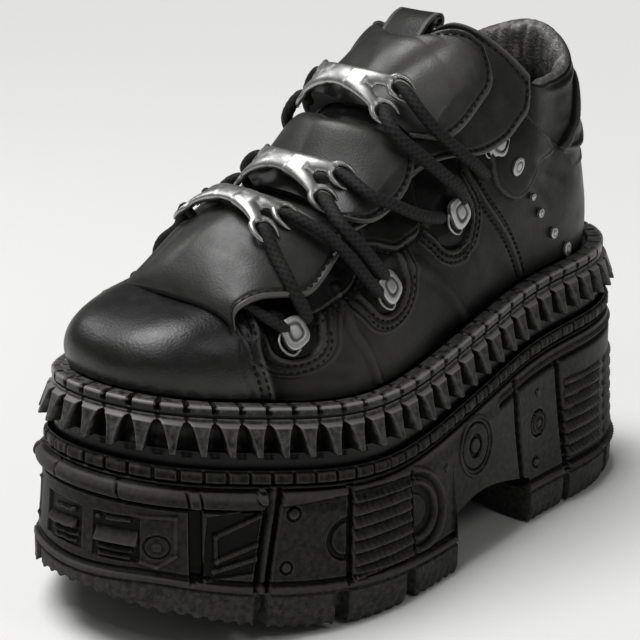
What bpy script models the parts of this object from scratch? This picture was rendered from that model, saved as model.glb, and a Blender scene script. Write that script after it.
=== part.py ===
"""Left platform boot: a low leather upper, laced over metal bridges, on a tall moulded sole.

Run with: blender --background --python part.py
Shape data are in millimetres and turned into metres when a mesh is made. The toe points to -Y, +X is
the wearer's left (lateral) side, +Z is up, and the boot stands on z = 0.
"""

import math

import bmesh
import bpy
import numpy as np
from mathutils import Matrix, Vector

MM = 0.001

# --- Driving dimensions (mm) ------------------------------------------------------------------------
WELT_LEDGE = 8.0        # width of welt left bare outside the upper
WALL = 2.2              # thickness of the upper's leather with its lining
GAP = 0.3               # air kept between pieces that touch
EASE = 1.25             # air under a padded piece that lies on a curved one
THROAT_SINK = 8.2       # the tongue's middle lies this far below the line of the quarters
TONGUE_MIDDLE = 2.0
TONGUE_EDGE = 1.6
WELT_THICK = 5.0
COG_DEPTH = 17.5        # from the welt's top down to the foot of the cog band and its recess
PLATFORM_TOP = 23.4     # from the welt's top down to the platform
TREAD_TOP = 15.3        # height of the ledge line over the tread
TOE_SPRING = 20.4       # rise of the tread at the tip of the toe
SPRING_START = -59.0    # the tread leaves the floor in front of this y
SPRING_RUN = 88.5
ARCH_FRONT = -11.5      # rear face of the forefoot block
ARCH_REAR = 47.0        # breast of the heel
COG_COUNT = 66
ORIGIN_SHIFT = (0.25, 3.0)   # plan offset that puts the origin under the middle of the boot

# Last: a row for each station around the boot, from the toe's tip along the lateral side to the back
# of the heel and home along the medial side. edge = welt edge in plan; top = crest or collar line;
# out/up low = how far the wall swells out and rises from the feather; out/down high = the same at the
# top; lip = share of the wall's height that the leather covers (the rest is throat).
LAST_COLUMNS = ("edge_x", "edge_y", "top_x", "top_y", "top_z",
                "out_low", "up_low", "out_high", "down_high", "lip")
LAST = np.array([
    (-7.0, -147.5, 0, -100, 122, 7, 16, 24, 0, 0.97),
    (14.5, -143.0, 3, -100, 122, 5, 16, 24, 0, 0.97),
    (30.0, -130.0, 4, -98, 123, 4, 16, 24, 0, 0.96),
    (44.0, -104.0, 3, -89, 128, 3, 19, 24, 0, 0.84),
    (53.5, -80.0, 1, -74, 138, 2, 22, 26, 0, 0.68),
    (57.0, -55.0, 0, -55, 153, 1, 24, 28, 0, 0.62),
    (54.5, -25.0, 0, -27, 175, 0, 30, 29, 0, 0.60),
    (51.0, 0.0, 0, -2, 194.5, -1, 36, 29, 0, 0.58),
    (47.5, 26.0, 9, 26, 204, -1, 38, 27, 2, 0.66),
    (44.0, 50.0, 35, 53, 191, -1, 38, 6, 30, 0.96),
    (42.0, 75.0, 32, 77, 182.5, 0, 30, 4, 30, 1.00),
    (39.5, 100.0, 27, 98, 185.5, 1, 30, 4, 34, 1.00),
    (27.0, 127.0, 14, 109, 195, 1.5, 34, 5, 38, 1.00),
    (1.5, 141.5, 0, 111, 199, 2.5, 36, 6, 40, 1.00),
    (-27.0, 127.0, -14, 109, 197, 1.5, 34, 5, 38, 1.00),
    (-38.0, 100.0, -27, 98, 192, 1, 30, 4, 34, 1.00),
    (-40.0, 75.0, -32, 77, 189.5, 0, 30, 4, 30, 1.00),
    (-40.0, 50.0, -35, 53, 193, -1, 38, 6, 30, 0.96),
    (-40.0, 26.0, -9, 26, 204, -1, 38, 27, 2, 0.66),
    (-42.5, 0.0, 0, -2, 194.5, -1, 36, 29, 0, 0.58),
    (-46.0, -25.0, 0, -27, 175, 0, 30, 29, 0, 0.60),
    (-52.0, -52.0, 0, -55, 153, 2, 24, 28, 0, 0.62),
    (-57.0, -80.0, -1, -74, 138, 4, 22, 26, 0, 0.68),
    (-56.0, -103.0, -3, -89, 128, 7, 19, 24, 0, 0.84),
    (-43.0, -127.0, -4, -98, 123, 9, 16, 24, 0, 0.96),
    (-29.0, -141.0, -3, -100, 122, 9, 16, 24, 0, 0.97),
], dtype=float)
STATIONS = len(LAST)
HEEL_STATION = STATIONS // 2

# Height of the welt's top along the boot.
WELT_COLUMNS = ("y", "z")
WELT_LINE = np.array([(-147.5, 97.0), (-100, 89.0), (-40, 85.3), (45, 100.0), (135, 105.5)], dtype=float)

# Bare foot of the arch between the two blocks.
ARCH_COLUMNS = ("y", "z")
ARCH_LINE = np.array([(-12, 25.0), (4, 28.5), (28, 26.0), (47, 21.0)], dtype=float)

# Toe flap, a row for each section from its free front edge to its rear: the middle of its underside,
# the half widths, how far back the edges lie from the middle, and how far they hang below it.
FLAP_COLUMNS = ("mid_y", "mid_z", "half_lat", "half_med", "back", "drop_lat", "drop_med")
TOE_FLAP = np.array([
    (-109, 123.6, 31, 30, 5, 5.3, 4.8),
    (-104, 128.6, 31, 30, 8, 7.5, 8.0),
    (-96, 136.0, 31.5, 30.5, 11, 11.0, 12.5),
    (-86, 143.0, 32.5, 31, 12, 14.5, 16.0),
    (-74, 148.4, 33.5, 31.5, 11, 16.0, 17.0),
    (-60, 151.9, 30.5, 30, 6, 12.0, 13.0),
], dtype=float)

# Lace bridges: middle of the underside, slope of the tongue there, arc length from the middle to a
# ring, radius of the bend, and half the distance between the two rings of a side.
BRIDGE_COLUMNS = ("y", "z", "slope_deg", "reach", "bend_radius", "ring_offset")
BRIDGES = {
    "toe": (-76.9, 156.0, 15.0, 21.5, 32.0, 6.2),
    "instep": (-49.2, 164.5, 35.0, 23.0, 30.0, 6.4),
    "ankle": (-16.1, 193.0, 41.0, 23.0, 28.0, 6.2),
}
COUNTER_START = 11.5     # station where the heel counter begins
BRIDGE_THICK = 2.4
RING_RADIUS = 5.2
RING_HOLE = 2.9
SHANK_HALF = 4.6

# Shields over the throat, a row for each section from front to rear: station of the middle on the
# spine, and station and share of the lateral edge. The medial side mirrors them.
SHIELD_COLUMNS = ("middle", "edge_station", "edge_share")
TONGUE = np.array([(3.75, 3.9, 0.77), (4.4, 4.6, 0.685), (5.3, 5.6, 0.57), (6.2, 6.6, 0.55),
                   (6.9, 7.5, 0.50), (7.3, 8.1, 0.485), (7.6, 8.55, 0.60), (7.8, 8.95, 0.80),
                   (7.95, 9.20, 0.975)], dtype=float)
INSTEP_FLAP = np.array([(5.30, 5.35, 0.65), (5.48, 5.70, 0.57), (5.68, 6.10, 0.535), (5.88, 6.45, 0.54),
                        (6.02, 6.68, 0.58), (6.14, 6.68, 0.66)], dtype=float)
ANKLE_FLAP = np.array([(6.80, 7.25, 0.61), (7.1, 7.60, 0.58), (7.4, 7.95, 0.625), (7.6, 8.25, 0.72),
                       (7.7, 8.48, 0.84), (7.75, 8.54, 0.94)], dtype=float)

# Places on the upper: station around it and share of the wall's height.
EYELETS = ((3.76, 0.375), (5.66, 0.33), (7.40, 0.348), (8.58, 0.556))
TAB_STUD = (8.80, 0.528)
HEEL_STUDS = ((9.45, 0.413, 1.6), (9.75, 0.312, 2.2), (10.22, 0.168, 2.8), (10.62, 0.05, 3.2))

BLACK_RUBBER = ((0.012, 0.012, 0.013, 1.0), 0.55, 0.0)
BLACK_LEATHER = ((0.010, 0.010, 0.011, 1.0), 0.38, 0.0)
BLACK_LACE = ((0.012, 0.012, 0.012, 1.0), 0.85, 0.0)
SILVER = ((0.62, 0.61, 0.58, 1.0), 0.28, 1.0)
INSOLE_GREY = ((0.04, 0.04, 0.04, 1.0), 0.9, 0.0)


# --- Shape functions --------------------------------------------------------------------------------
def spline_slopes(knots, values, periodic):
    """Slopes of the cubic spline through values at knots, natural at the ends or closed on itself."""
    steps = np.diff(knots)
    rises = np.diff(values, axis=0) / steps[:, None]
    count = len(values) - 1 if periodic else len(values)
    matrix = np.zeros((count, count))
    right = np.zeros((count, values.shape[1]))
    for j in range(count):
        if not periodic and j in (0, count - 1):
            inner = 1 if j == 0 else count - 2
            matrix[j, j] = 2.0
            matrix[j, inner] = 1.0
            right[j] = 3.0 * rises[0 if j == 0 else -1]
            continue
        matrix[j, (j - 1) % count] += steps[j]
        matrix[j, j] += 2.0 * (steps[j - 1] + steps[j])
        matrix[j, (j + 1) % count] += steps[j - 1]
        right[j] = 3.0 * (steps[j] * rises[j - 1] + steps[j - 1] * rises[j])
    slopes = np.linalg.solve(matrix, right)
    return np.vstack([slopes, slopes[:1]]) if periodic else slopes


def spline_read(knots, values, slopes, places):
    """Cubic Hermite reading of a spline at any places."""
    places = np.asarray(places, dtype=float)
    piece = np.clip(np.searchsorted(knots, places, side="right") - 1, 0, len(knots) - 2)
    width = knots[piece + 1] - knots[piece]
    s = ((places - knots[piece]) / width)[..., None]
    width = width[..., None]
    return ((2 * s**3 - 3 * s**2 + 1) * values[piece] + (s**3 - 2 * s**2 + s) * width * slopes[piece]
            + (3 * s**2 - 2 * s**3) * values[piece + 1] + (s**3 - s**2) * width * slopes[piece + 1])


LOOP = np.vstack([LAST, LAST[:1]])
CHORDS = np.sqrt(np.linalg.norm(np.diff(LOOP[:, :2], axis=0), axis=1))
KNOTS = np.concatenate([[0.0], np.cumsum(CHORDS)]) / CHORDS.sum()
LAST_SLOPES = spline_slopes(KNOTS, LOOP, periodic=True)
WELT_SLOPES = spline_slopes(WELT_LINE[:, 0], WELT_LINE[:, 1:], periodic=False)
ARCH_SLOPES = spline_slopes(ARCH_LINE[:, 0], ARCH_LINE[:, 1:], periodic=False)


def lip_at(turn):
    """Share of the wall's height that the upper covers."""
    return np.interp(np.asarray(turn) % 1.0, KNOTS, LOOP[:, LAST_COLUMNS.index("lip")])


def turn_of(station):
    """Place around the loop, 0 to 1, of a station number; medial stations run on past the heel."""
    return np.interp(station, np.arange(STATIONS + 1), KNOTS)


def last_row(turn):
    return spline_read(KNOTS, LOOP, LAST_SLOPES, np.asarray(turn) % 1.0)


def welt_height(y):
    return spline_read(WELT_LINE[:, 0], WELT_LINE[:, 1:], WELT_SLOPES, y)[..., 0]


def arch_height(y):
    return spline_read(ARCH_LINE[:, 0], ARCH_LINE[:, 1:], ARCH_SLOPES, y)[..., 0]


def toe_rise(y):
    """Parabola by which the tread and its ledge lift towards the toe."""
    return TOE_SPRING * np.clip((SPRING_START - y) / SPRING_RUN, 0.0, 1.2) ** 2


def edge_and_normal(turn):
    """Row of the last at a turn, and the outline's outward normal in plan."""
    small = 1e-4
    ahead = last_row(np.asarray(turn) + small)[..., :2]
    behind = last_row(np.asarray(turn) - small)[..., :2]
    tangent = ahead - behind
    tangent /= np.linalg.norm(tangent, axis=-1, keepdims=True)
    return last_row(turn), np.stack([tangent[..., 1], -tangent[..., 0]], axis=-1)


def outline(turn, outward):
    """Plan points at a distance outside the welt's edge."""
    row, normal = edge_and_normal(turn)
    return row[..., :2] + np.asarray(outward)[..., None] * normal


def wall_point(turn, share):
    """Point of the upper's outer face: a Bezier wall from the feather (share 0) to the top (share 1)."""
    row, normal = edge_and_normal(turn)
    flat = row[..., :2] - WELT_LEDGE * normal
    foot = np.concatenate([flat, (welt_height(row[..., 1]) + GAP + 0.1)[..., None]], axis=-1)
    out = np.concatenate([normal, np.zeros_like(normal[..., :1])], axis=-1)
    up = np.array([0.0, 0.0, 1.0])
    top = row[..., 2:5]
    low = foot + row[..., 5:6] * out + row[..., 6:7] * up
    high = top + row[..., 7:8] * out - row[..., 8:9] * up
    v = np.asarray(share, dtype=float)[..., None]
    return (1 - v)**3 * foot + 3 * (1 - v)**2 * v * low + 3 * (1 - v) * v**2 * high + v**3 * top


def wall_normal(turn, share):
    """Outward unit normal of the upper's face."""
    small = 1e-3
    share = np.asarray(share, dtype=float)
    along = wall_point(turn + small, share) - wall_point(turn - small, share)
    upward = wall_point(turn, np.minimum(share + small, 1.0)) - wall_point(turn, share - small)
    normal = np.cross(along, upward)
    return normal / np.linalg.norm(normal, axis=-1, keepdims=True)


def on_upper(station, share, lift):
    """Point lifted off the upper's face."""
    station, share = np.broadcast_arrays(np.asarray(station, dtype=float), np.asarray(share, dtype=float))
    turn = turn_of(station)
    return wall_point(turn, share) + np.asarray(lift)[..., None] * wall_normal(turn, share)


def across_spine(lateral_station, share, side_sign, lift):
    """As on_upper, with the medial side's station mirrored from the lateral one."""
    station = np.where(side_sign >= 0, lateral_station, STATIONS - lateral_station)
    return on_upper(station, share, lift)


# --- Mesh helpers -----------------------------------------------------------------------------------
def start_clean():
    for item in list(bpy.data.objects):
        bpy.data.objects.remove(item, do_unlink=True)


def new_collection(name):
    found = bpy.data.collections.get(name)
    if found is None:
        found = bpy.data.collections.new(name)
        bpy.context.scene.collection.children.link(found)
    return found


def material(name, finish):
    colour, roughness, metallic = finish
    made = bpy.data.materials.new(name)
    made.use_nodes = True
    shader = made.node_tree.nodes["Principled BSDF"]
    shader.inputs["Base Color"].default_value = colour
    shader.inputs["Roughness"].default_value = roughness
    shader.inputs["Metallic"].default_value = metallic
    made.diffuse_color = colour
    return made


def place(name, mesh, finish, smooth_deg=35.0):
    """Make the named sub-part, give it its own material and hang it on the boot's empty."""
    made = bpy.data.objects.new(name, mesh)
    PARTS.objects.link(made)
    made.parent = BOOT
    mesh.materials.append(material(name, finish))
    mesh.shade_smooth()
    mesh.set_sharp_from_angle(angle=math.radians(smooth_deg))
    return made


def mesh_of(name, points, faces):
    mesh = bpy.data.meshes.new(name)
    mesh.from_pydata((np.asarray(points) * MM).tolist(), [], faces)
    mesh.update()
    return mesh


def grid_faces(rows, columns, wrap=False, start=0):
    """Quads of a rows by columns grid of points, numbered row by row."""
    last_column = columns if wrap else columns - 1
    return [(start + r * columns + c, start + r * columns + (c + 1) % columns,
             start + (r + 1) * columns + (c + 1) % columns, start + (r + 1) * columns + c)
            for r in range(rows - 1) for c in range(last_column)]


def cap_faces(count, start, upward):
    """Strips across a ring that starts at the toe, joining each lateral point to its medial twin."""
    faces = [(start, start + 1, start + count - 1)]
    faces += [(start + i, start + i + 1, start + count - i - 1, start + count - i)
              for i in range(1, count // 2 - 1)]
    half = count // 2
    faces.append((start + half - 1, start + half, start + half + 1))
    return faces if upward else [tuple(reversed(f)) for f in faces]


def ring_stack(name, rings):
    """Closed solid lofted through rings of equal count, listed from the bottom up."""
    count = len(rings[0])
    points = np.concatenate(rings)
    faces = grid_faces(len(rings), count, wrap=True)
    faces += cap_faces(count, 0, upward=False)
    faces += cap_faces(count, (len(rings) - 1) * count, upward=True)
    return mesh_of(name, points, faces)


def even_turns(count, outward=0.0):
    """Turns that cut the outline into equal lengths, starting at the toe's tip."""
    fine = np.linspace(0.0, 1.0, 1441)
    line = outline(fine, np.full_like(fine, outward))
    run = np.concatenate([[0.0], np.cumsum(np.linalg.norm(np.diff(line, axis=0), axis=1))])
    return np.interp(np.arange(count) / count * run[-1], run, fine)


def turns_at(y, outward):
    """The lateral and the medial turn at which the outline crosses y."""
    fine = np.linspace(0.0, 1.0, 1441)
    line = outline(fine, np.full_like(fine, outward))[:, 1]
    half = int(np.argmax(line))
    lateral = np.interp(y, line[:half], fine[:half])
    medial = np.interp(-y, -line[half:], fine[half:])
    return lateral, medial


def flat_ring(turns, outward, height):
    """Ring at a distance outside the welt's edge; height is a function of y."""
    plan = outline(turns, np.broadcast_to(np.asarray(outward, dtype=float), turns.shape))
    return np.column_stack([plan, height(plan[:, 1])])


def below_welt(depth):
    return lambda y: welt_height(y) - depth


def pad_solid(name, under, over):
    """Closed solid between two equal grids of points, under facing in and over facing out."""
    rows, columns = under.shape[:2]
    points = np.concatenate([under.reshape(-1, 3), over.reshape(-1, 3)])
    shift = rows * columns
    faces = grid_faces(rows, columns, start=shift)
    faces += [tuple(reversed(f)) for f in grid_faces(rows, columns)]
    border = [(0, c) for c in range(columns)] + [(r, columns - 1) for r in range(1, rows)]
    border += [(rows - 1, c) for c in range(columns - 2, -1, -1)] + [(r, 0) for r in range(rows - 2, 0, -1)]
    ids = [r * columns + c for r, c in border]
    for here, following in zip(ids, ids[1:] + ids[:1], strict=True):
        faces.append((here, following, following + shift, here + shift))
    mesh = mesh_of(name, points, faces)
    fix_normals(mesh)
    return mesh


def fix_normals(mesh):
    work = bmesh.new()
    work.from_mesh(mesh)
    bmesh.ops.recalc_face_normals(work, faces=work.faces)
    work.to_mesh(mesh)
    work.free()


def keep_one_side(mesh, plane_y, keep_front):
    """Cut a closed solid at a plane across the boot and close it again."""
    work = bmesh.new()
    work.from_mesh(mesh)
    geometry = work.verts[:] + work.edges[:] + work.faces[:]
    cut = bmesh.ops.bisect_plane(work, geom=geometry, plane_co=(0, plane_y * MM, 0), plane_no=(0, 1, 0),
                                 clear_outer=keep_front, clear_inner=not keep_front)
    edges = [item for item in cut["geom_cut"] if isinstance(item, bmesh.types.BMEdge)]
    bmesh.ops.contextual_create(work, geom=edges)
    bmesh.ops.recalc_face_normals(work, faces=work.faces)
    work.to_mesh(mesh)
    work.free()


# --- Sole -------------------------------------------------------------------------------------------
def build_tread():
    """Forefoot and heel tread: one flared slab, parted at the arch, with grooves between the lugs."""
    turns = even_turns(60)
    rings = [
        flat_ring(turns, 6.9, toe_rise),
        flat_ring(turns, 8.8, lambda y: toe_rise(y) + 8.0),
        flat_ring(turns, 9.2, lambda y: toe_rise(y) + TREAD_TOP - GAP),
    ]
    for name, plane_y, front in (("outsole_forefoot", ARCH_FRONT - 0.3, True),
                                 ("outsole_heel", ARCH_REAR + 0.3, False)):
        mesh = ring_stack(name, rings)
        keep_one_side(mesh, plane_y, front)
        made = place(name, mesh, BLACK_RUBBER)
        cut_grooves(made, FOREFOOT_GROOVES if front else HEEL_GROOVES)


# Grooves between lugs: y of the middle, slant across the boot, width and depth.
GROOVE_COLUMNS = ("y", "slant_deg", "width", "depth")
FOREFOOT_GROOVES = ((-112, 10, 5, 9), (-90, 6, 4, 6), (-68, 0, 5, 9), (-35, -4, 5, 9))
HEEL_GROOVES = ((66.4, 0, 4.5, 9), (91.3, 0, 4.5, 7.2), (115.2, 0, 4.5, 7.2))


def cut_grooves(body, rows):
    """Cut the rows of grooves, joined with one groove along the middle, out of a tread."""
    for number, (y, slant, width, depth) in enumerate(rows):
        base = toe_rise(np.array(y)) - 10.0
        bpy.ops.mesh.primitive_cube_add(size=1.0)
        cutter = bpy.context.active_object
        cutter.name = f"{body.name}_groove_{number}"
        cutter.scale = (160 * MM, width * MM, (depth + 10.0) * MM)
        cutter.rotation_euler = (0, 0, math.radians(slant))
        cutter.location = (0, y * MM, (base + (depth + 10.0) / 2) * MM)
        cutter.parent = BOOT
        cutter.hide_render = True
        cutter.display_type = "WIRE"
        for owner in list(cutter.users_collection):
            owner.objects.unlink(cutter)
        CUTTERS.objects.link(cutter)
        cut = body.modifiers.new(f"groove_{number}", "BOOLEAN")
        cut.operation = "DIFFERENCE"
        cut.solver = "EXACT"
        cut.object = cutter


def build_platform():
    """Tall body of the sole: segment band and roll above, flared sides, arch cut between the blocks."""
    turns = even_turns(58)
    extra = []
    for y in (ARCH_FRONT - 0.2, ARCH_FRONT + 0.4, ARCH_REAR - 0.4, ARCH_REAR + 0.2):
        extra.extend(turns_at(y, 8.0))
    step = 1.0 / 58
    kept = [t for t in turns if min(abs(t - e) for e in extra) > 0.25 * step]
    turns = np.array(sorted(kept + extra))
    turns = pair_up(turns)

    def foot(y):
        ledge = TREAD_TOP + toe_rise(y)
        return np.where((y > ARCH_FRONT) & (y < ARCH_REAR), arch_height(y), ledge)

    rings = [
        flat_ring(turns, 8.6, foot),
        flat_ring(turns, 6.8, lambda y: (foot(y) + welt_height(y) - 40) / 2 + 6),
        flat_ring(turns, 6.4, below_welt(39.0)),
        flat_ring(turns, 7.6, below_welt(34.5)),
        flat_ring(turns, 4.4, below_welt(29.5)),
        flat_ring(turns, 4.0, below_welt(PLATFORM_TOP)),
    ]
    mesh = ring_stack("platform", rings)
    place("platform", mesh, BLACK_RUBBER)


def pair_up(turns):
    """Same number of turns on both sides of the heel, so that caps can be strips across the sole."""
    lateral = [t for t in turns if 0.0 < t < turn_of(HEEL_STATION) - 1e-6]
    medial = [t for t in turns if t > turn_of(HEEL_STATION) + 1e-6]
    count = min(len(lateral), len(medial))
    while len(lateral) > count:
        drop_closest(lateral)
    while len(medial) > count:
        drop_closest(medial)
    return np.array([0.0] + lateral + [float(turn_of(HEEL_STATION))] + medial)


def drop_closest(turns):
    """Leave out one plain sample near the heel's end of a side."""
    turns.pop(-2)


def build_cog_band():
    """Midsole with its row of big wedge teeth, which widen upwards and lean out downwards."""
    pitch = 1.0 / COG_COUNT
    base = np.arange(COG_COUNT) * pitch
    wide = (0.10, 0.90)
    narrow = (0.34, 0.66)
    gap_edge = (0.02, 0.98)

    def samples(tooth, lean, depth):
        share = np.array([gap_edge[0], tooth[0], tooth[1], gap_edge[1]])
        run = (base[:, None] + pitch * (share - 0.5)[None, :]).ravel()
        turns = np.interp(run % 1.0, np.linspace(0, 1, 721), np.append(even_turns(720), 1.0))
        outward = np.tile([1.0, lean, lean, 1.0], COG_COUNT)
        return flat_ring(turns, outward, below_welt(depth))

    flush = samples(narrow, 0.6, PLATFORM_TOP - GAP)
    flush_top = samples(narrow, 0.6, COG_DEPTH + 0.8)
    rings = [flush, flush_top, samples(narrow, 6.5, COG_DEPTH), samples(wide, 2.8, WELT_THICK + GAP)]
    rings = [np.roll(ring, -2, axis=0) for ring in rings]
    place("cog_midsole", ring_stack("cog_midsole", rings), BLACK_RUBBER)


def build_welt():
    """Flat plate of the welt, whose rim stands bare around the upper."""
    turns = even_turns(60)
    rings = [
        flat_ring(turns, -1.5, below_welt(WELT_THICK)),
        flat_ring(turns, 0.4, below_welt(WELT_THICK - 1.2)),
        flat_ring(turns, 0.4, below_welt(1.2)),
        flat_ring(turns, -0.8, below_welt(0.0)),
    ]
    place("welt", ring_stack("welt", rings), BLACK_RUBBER)


def build_insole():
    turns = even_turns(44)
    inset = -(WELT_LEDGE + WALL + 1.2)
    rings = [flat_ring(turns, inset, below_welt(-GAP)), flat_ring(turns, inset, below_welt(-3.6)),
             flat_ring(turns, inset - 1.5, below_welt(-4.4))]
    place("insole", ring_stack("insole", rings), INSOLE_GREY)


# --- Leather ----------------------------------------------------------------------------------------
def build_upper():
    """Vamp, quarters and counter as one wall, open along the throat, at the collar and underneath."""
    around, high = 56, 8
    turns = even_turns(around)
    share = np.linspace(0.0, 1.0, high)[:, None] * lip_at(turns)[None, :]
    points = wall_point(np.broadcast_to(turns, share.shape), share)
    mesh = mesh_of("upper", points.reshape(-1, 3), grid_faces(high, around, wrap=True))
    made = place("upper", mesh, BLACK_LEATHER, smooth_deg=60)
    wall = made.modifiers.new("wall", "SOLIDIFY")
    wall.thickness = WALL * MM
    wall.offset = -1.0
    wall.use_even_offset = True


def sink(station, share):
    """How far the tongue drops into the open throat, nothing where it lies on the quarters."""
    lip = lip_at(turn_of(station))
    into = np.clip((share - lip - 0.03) / np.maximum(0.97 - lip, 0.02), 0.0, 1.0)
    rear = np.minimum(station, STATIONS - station)
    fade = np.clip((1.0 - lip) / 0.38, 0.0, 1.0) * np.clip((8.2 - rear) / 0.5, 0.0, 1.0)
    return THROAT_SINK * into * (2.0 - into) * fade


def tongue_thickness(share):
    return TONGUE_EDGE + (TONGUE_MIDDLE - TONGUE_EDGE) * np.clip((share - 0.5) / 0.5, 0.0, 1.0)


def shield_places(table, rows, columns):
    """Stations, shares and cross places of a shield's grid, lateral edge first."""
    r = np.linspace(0.0, 1.0, rows)
    known = np.linspace(0.0, 1.0, len(table))
    middle, edge_station, edge_share = (np.interp(r, known, table[:, i])[:, None] for i in range(3))
    c = np.linspace(1.0, -1.0, columns)[None, :]
    station = middle + (edge_station - middle) * np.abs(c) ** 1.5
    share = 1.0 - (1.0 - edge_share) * np.abs(c)
    return station, share, np.broadcast_to(c, station.shape), np.broadcast_to(r[:, None], station.shape)


def build_tongue():
    station, share, c, _ = shield_places(TONGUE, 13, 13)
    low = EASE - sink(station, share)
    under = across_spine(station, share, c, low)
    over = across_spine(station, share, c, low + tongue_thickness(share))
    place("tongue", pad_solid("tongue", under, over), BLACK_LEATHER, 60)


def build_flaps():
    """Two padded shields over the tongue, thin at the rim and full in the middle."""
    for name, table, puff in (("instep_flap", INSTEP_FLAP, 6.8), ("ankle_flap", ANKLE_FLAP, 4.6)):
        station, share, c, r = shield_places(table, 8, 13)
        low = EASE - sink(station, share) + tongue_thickness(share) + 1.5
        full = puff * (1.0 - c ** 2) * np.sin(np.pi * r ** 1.9)
        under = across_spine(station, share, c, low)
        over = across_spine(station, share, c, low + 1.1 + 0.6 * r + full)
        place(name, pad_solid(name, under, over), BLACK_LEATHER, 60)


def toe_flap_grid(lift, puff):
    """Loose front flap: sections across it, each a hanging curve from its middle to its edges."""
    c = np.linspace(1.0, -1.0, 11)[None, :]
    mid_y, mid_z, half_lat, half_med, back, drop_lat, drop_med = (TOE_FLAP[:, i:i + 1] for i in range(7))
    lateral = c >= 0
    half = np.where(lateral, half_lat, half_med)
    drop = np.where(lateral, drop_lat, drop_med)
    reach = np.abs(c)
    x = half * np.sin(c * 1.25) / math.sin(1.25)
    y = mid_y + back * reach ** 1.6
    row = np.linspace(-1.0, 1.0, len(TOE_FLAP))[:, None]
    z = mid_z - drop * reach ** 1.85
    swell = lift + puff * (1.0 - reach ** 4) * (1.0 - np.abs(row) ** 4)
    tilt = 0.9 * np.sign(c) * reach ** 1.3
    return np.stack([x + swell * np.sin(tilt), y - 0.35 * swell, z + swell * np.cos(tilt)], axis=-1)


def build_toe_flap():
    place("toe_flap", pad_solid("toe_flap", toe_flap_grid(0.0, 0.0), toe_flap_grid(2.2, 2.4)),
          BLACK_LEATHER, 60)


def build_pull_loop():
    """Strap over the tongue's top edge, rolled at its end, as a flat outline pulled out sideways."""
    half_width = 10.0
    path = [(21.2, 208.6), (24.5, 210.9), (28.5, 212.3), (31.6, 211.8), (33.0, 209.6), (31.4, 207.7)]
    path += [(29.0, 208.6)]
    line = np.array(path)
    tangent = np.gradient(line, axis=0)
    tangent /= np.linalg.norm(tangent, axis=1, keepdims=True)
    side = np.stack([-tangent[:, 1], tangent[:, 0]], axis=1)
    outer = line + side * 0.9
    inner = line - side * 0.9
    profile = np.concatenate([outer, inner[::-1]])
    ends = [np.column_stack([np.full(len(profile), x), profile]) for x in (-half_width, half_width)]
    count = len(profile)
    half = count // 2
    faces = [(i, (i + 1) % count, count + (i + 1) % count, count + i) for i in range(count)]
    for start in (0, count):
        faces += [(start + i, start + i + 1, start + count - 2 - i, start + count - 1 - i)
                  for i in range(half - 1)]
    mesh = mesh_of("pull_loop", np.concatenate(ends), faces)
    fix_normals(mesh)
    place("pull_loop", mesh, BLACK_LEATHER)


def build_heel_counter():
    """Stiff outer piece around the heel, thicker at its top edge."""
    station = np.linspace(COUNTER_START, STATIONS - COUNTER_START, 13)[None, :]
    high = np.linspace(0.03, 0.84, 9)[:, None]
    side = np.abs(station - HEEL_STATION) / (HEEL_STATION - COUNTER_START)
    share = high * (1.0 - 0.22 * side ** 2)
    thick = 1.1 + 0.7 * (high / 0.84) ** 3 + 0 * side
    stations = np.broadcast_to(station, share.shape)
    under = on_upper(stations, share, np.full(share.shape, 0.7))
    over = on_upper(stations, share, 0.7 + thick)
    place("heel_counter", pad_solid("heel_counter", under, over), BLACK_LEATHER, 60)


def build_collar_pad():
    """Padded lining roll inside the collar, from one wing of the tongue round the heel to the other."""
    stations = np.linspace(9.7, STATIONS - 9.7, 21)
    section = ((1.0, 0.99), (4.5, 1.0), (8.0, 0.97), (9.0, 0.88), (7.5, 0.76), (4.0, 0.68), (1.2, 0.70),
               (0.9, 0.85))
    columns = [on_upper(stations, np.full(stations.shape, share), np.full(stations.shape, -WALL - depth))
               for depth, share in section]
    points = np.stack(columns, axis=1)
    count = len(section)
    faces = grid_faces(len(stations), count, wrap=True)
    last = (len(stations) - 1) * count
    for start in (0, last):
        faces += [(start + i, start + i + 1, start + count - 2 - i, start + count - 1 - i)
                  for i in range(count // 2 - 1)]
    mesh = mesh_of("collar_pad", points.reshape(-1, 3), faces)
    fix_normals(mesh)
    place("collar_pad", mesh, BLACK_LEATHER, 60)


# --- Metalwork --------------------------------------------------------------------------------------
def bridge_outline(reach, ring_offset):
    """Quarter outline of a bridge in its flat state, from the waist's edge to the rings and back."""
    def arc(cx, cy, radius, start, stop, steps):
        angles = np.radians(np.linspace(start, stop, steps))
        return [(cx + radius * math.cos(a), cy + radius * math.sin(a)) for a in angles]

    quarter = [(0.0, SHANK_HALF + 0.6), (8.0, SHANK_HALF), (reach - 7.0, SHANK_HALF + 1.6)]
    quarter += arc(reach, ring_offset, RING_RADIUS, 110, -30, 5)
    quarter += arc(reach, ring_offset, RING_HOLE, -30, 200, 5)
    quarter += [(reach - 5.2, ring_offset - 4.6), (reach - 8.0, 1.2), (reach - 9.5, 0.0)]
    return quarter


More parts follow.
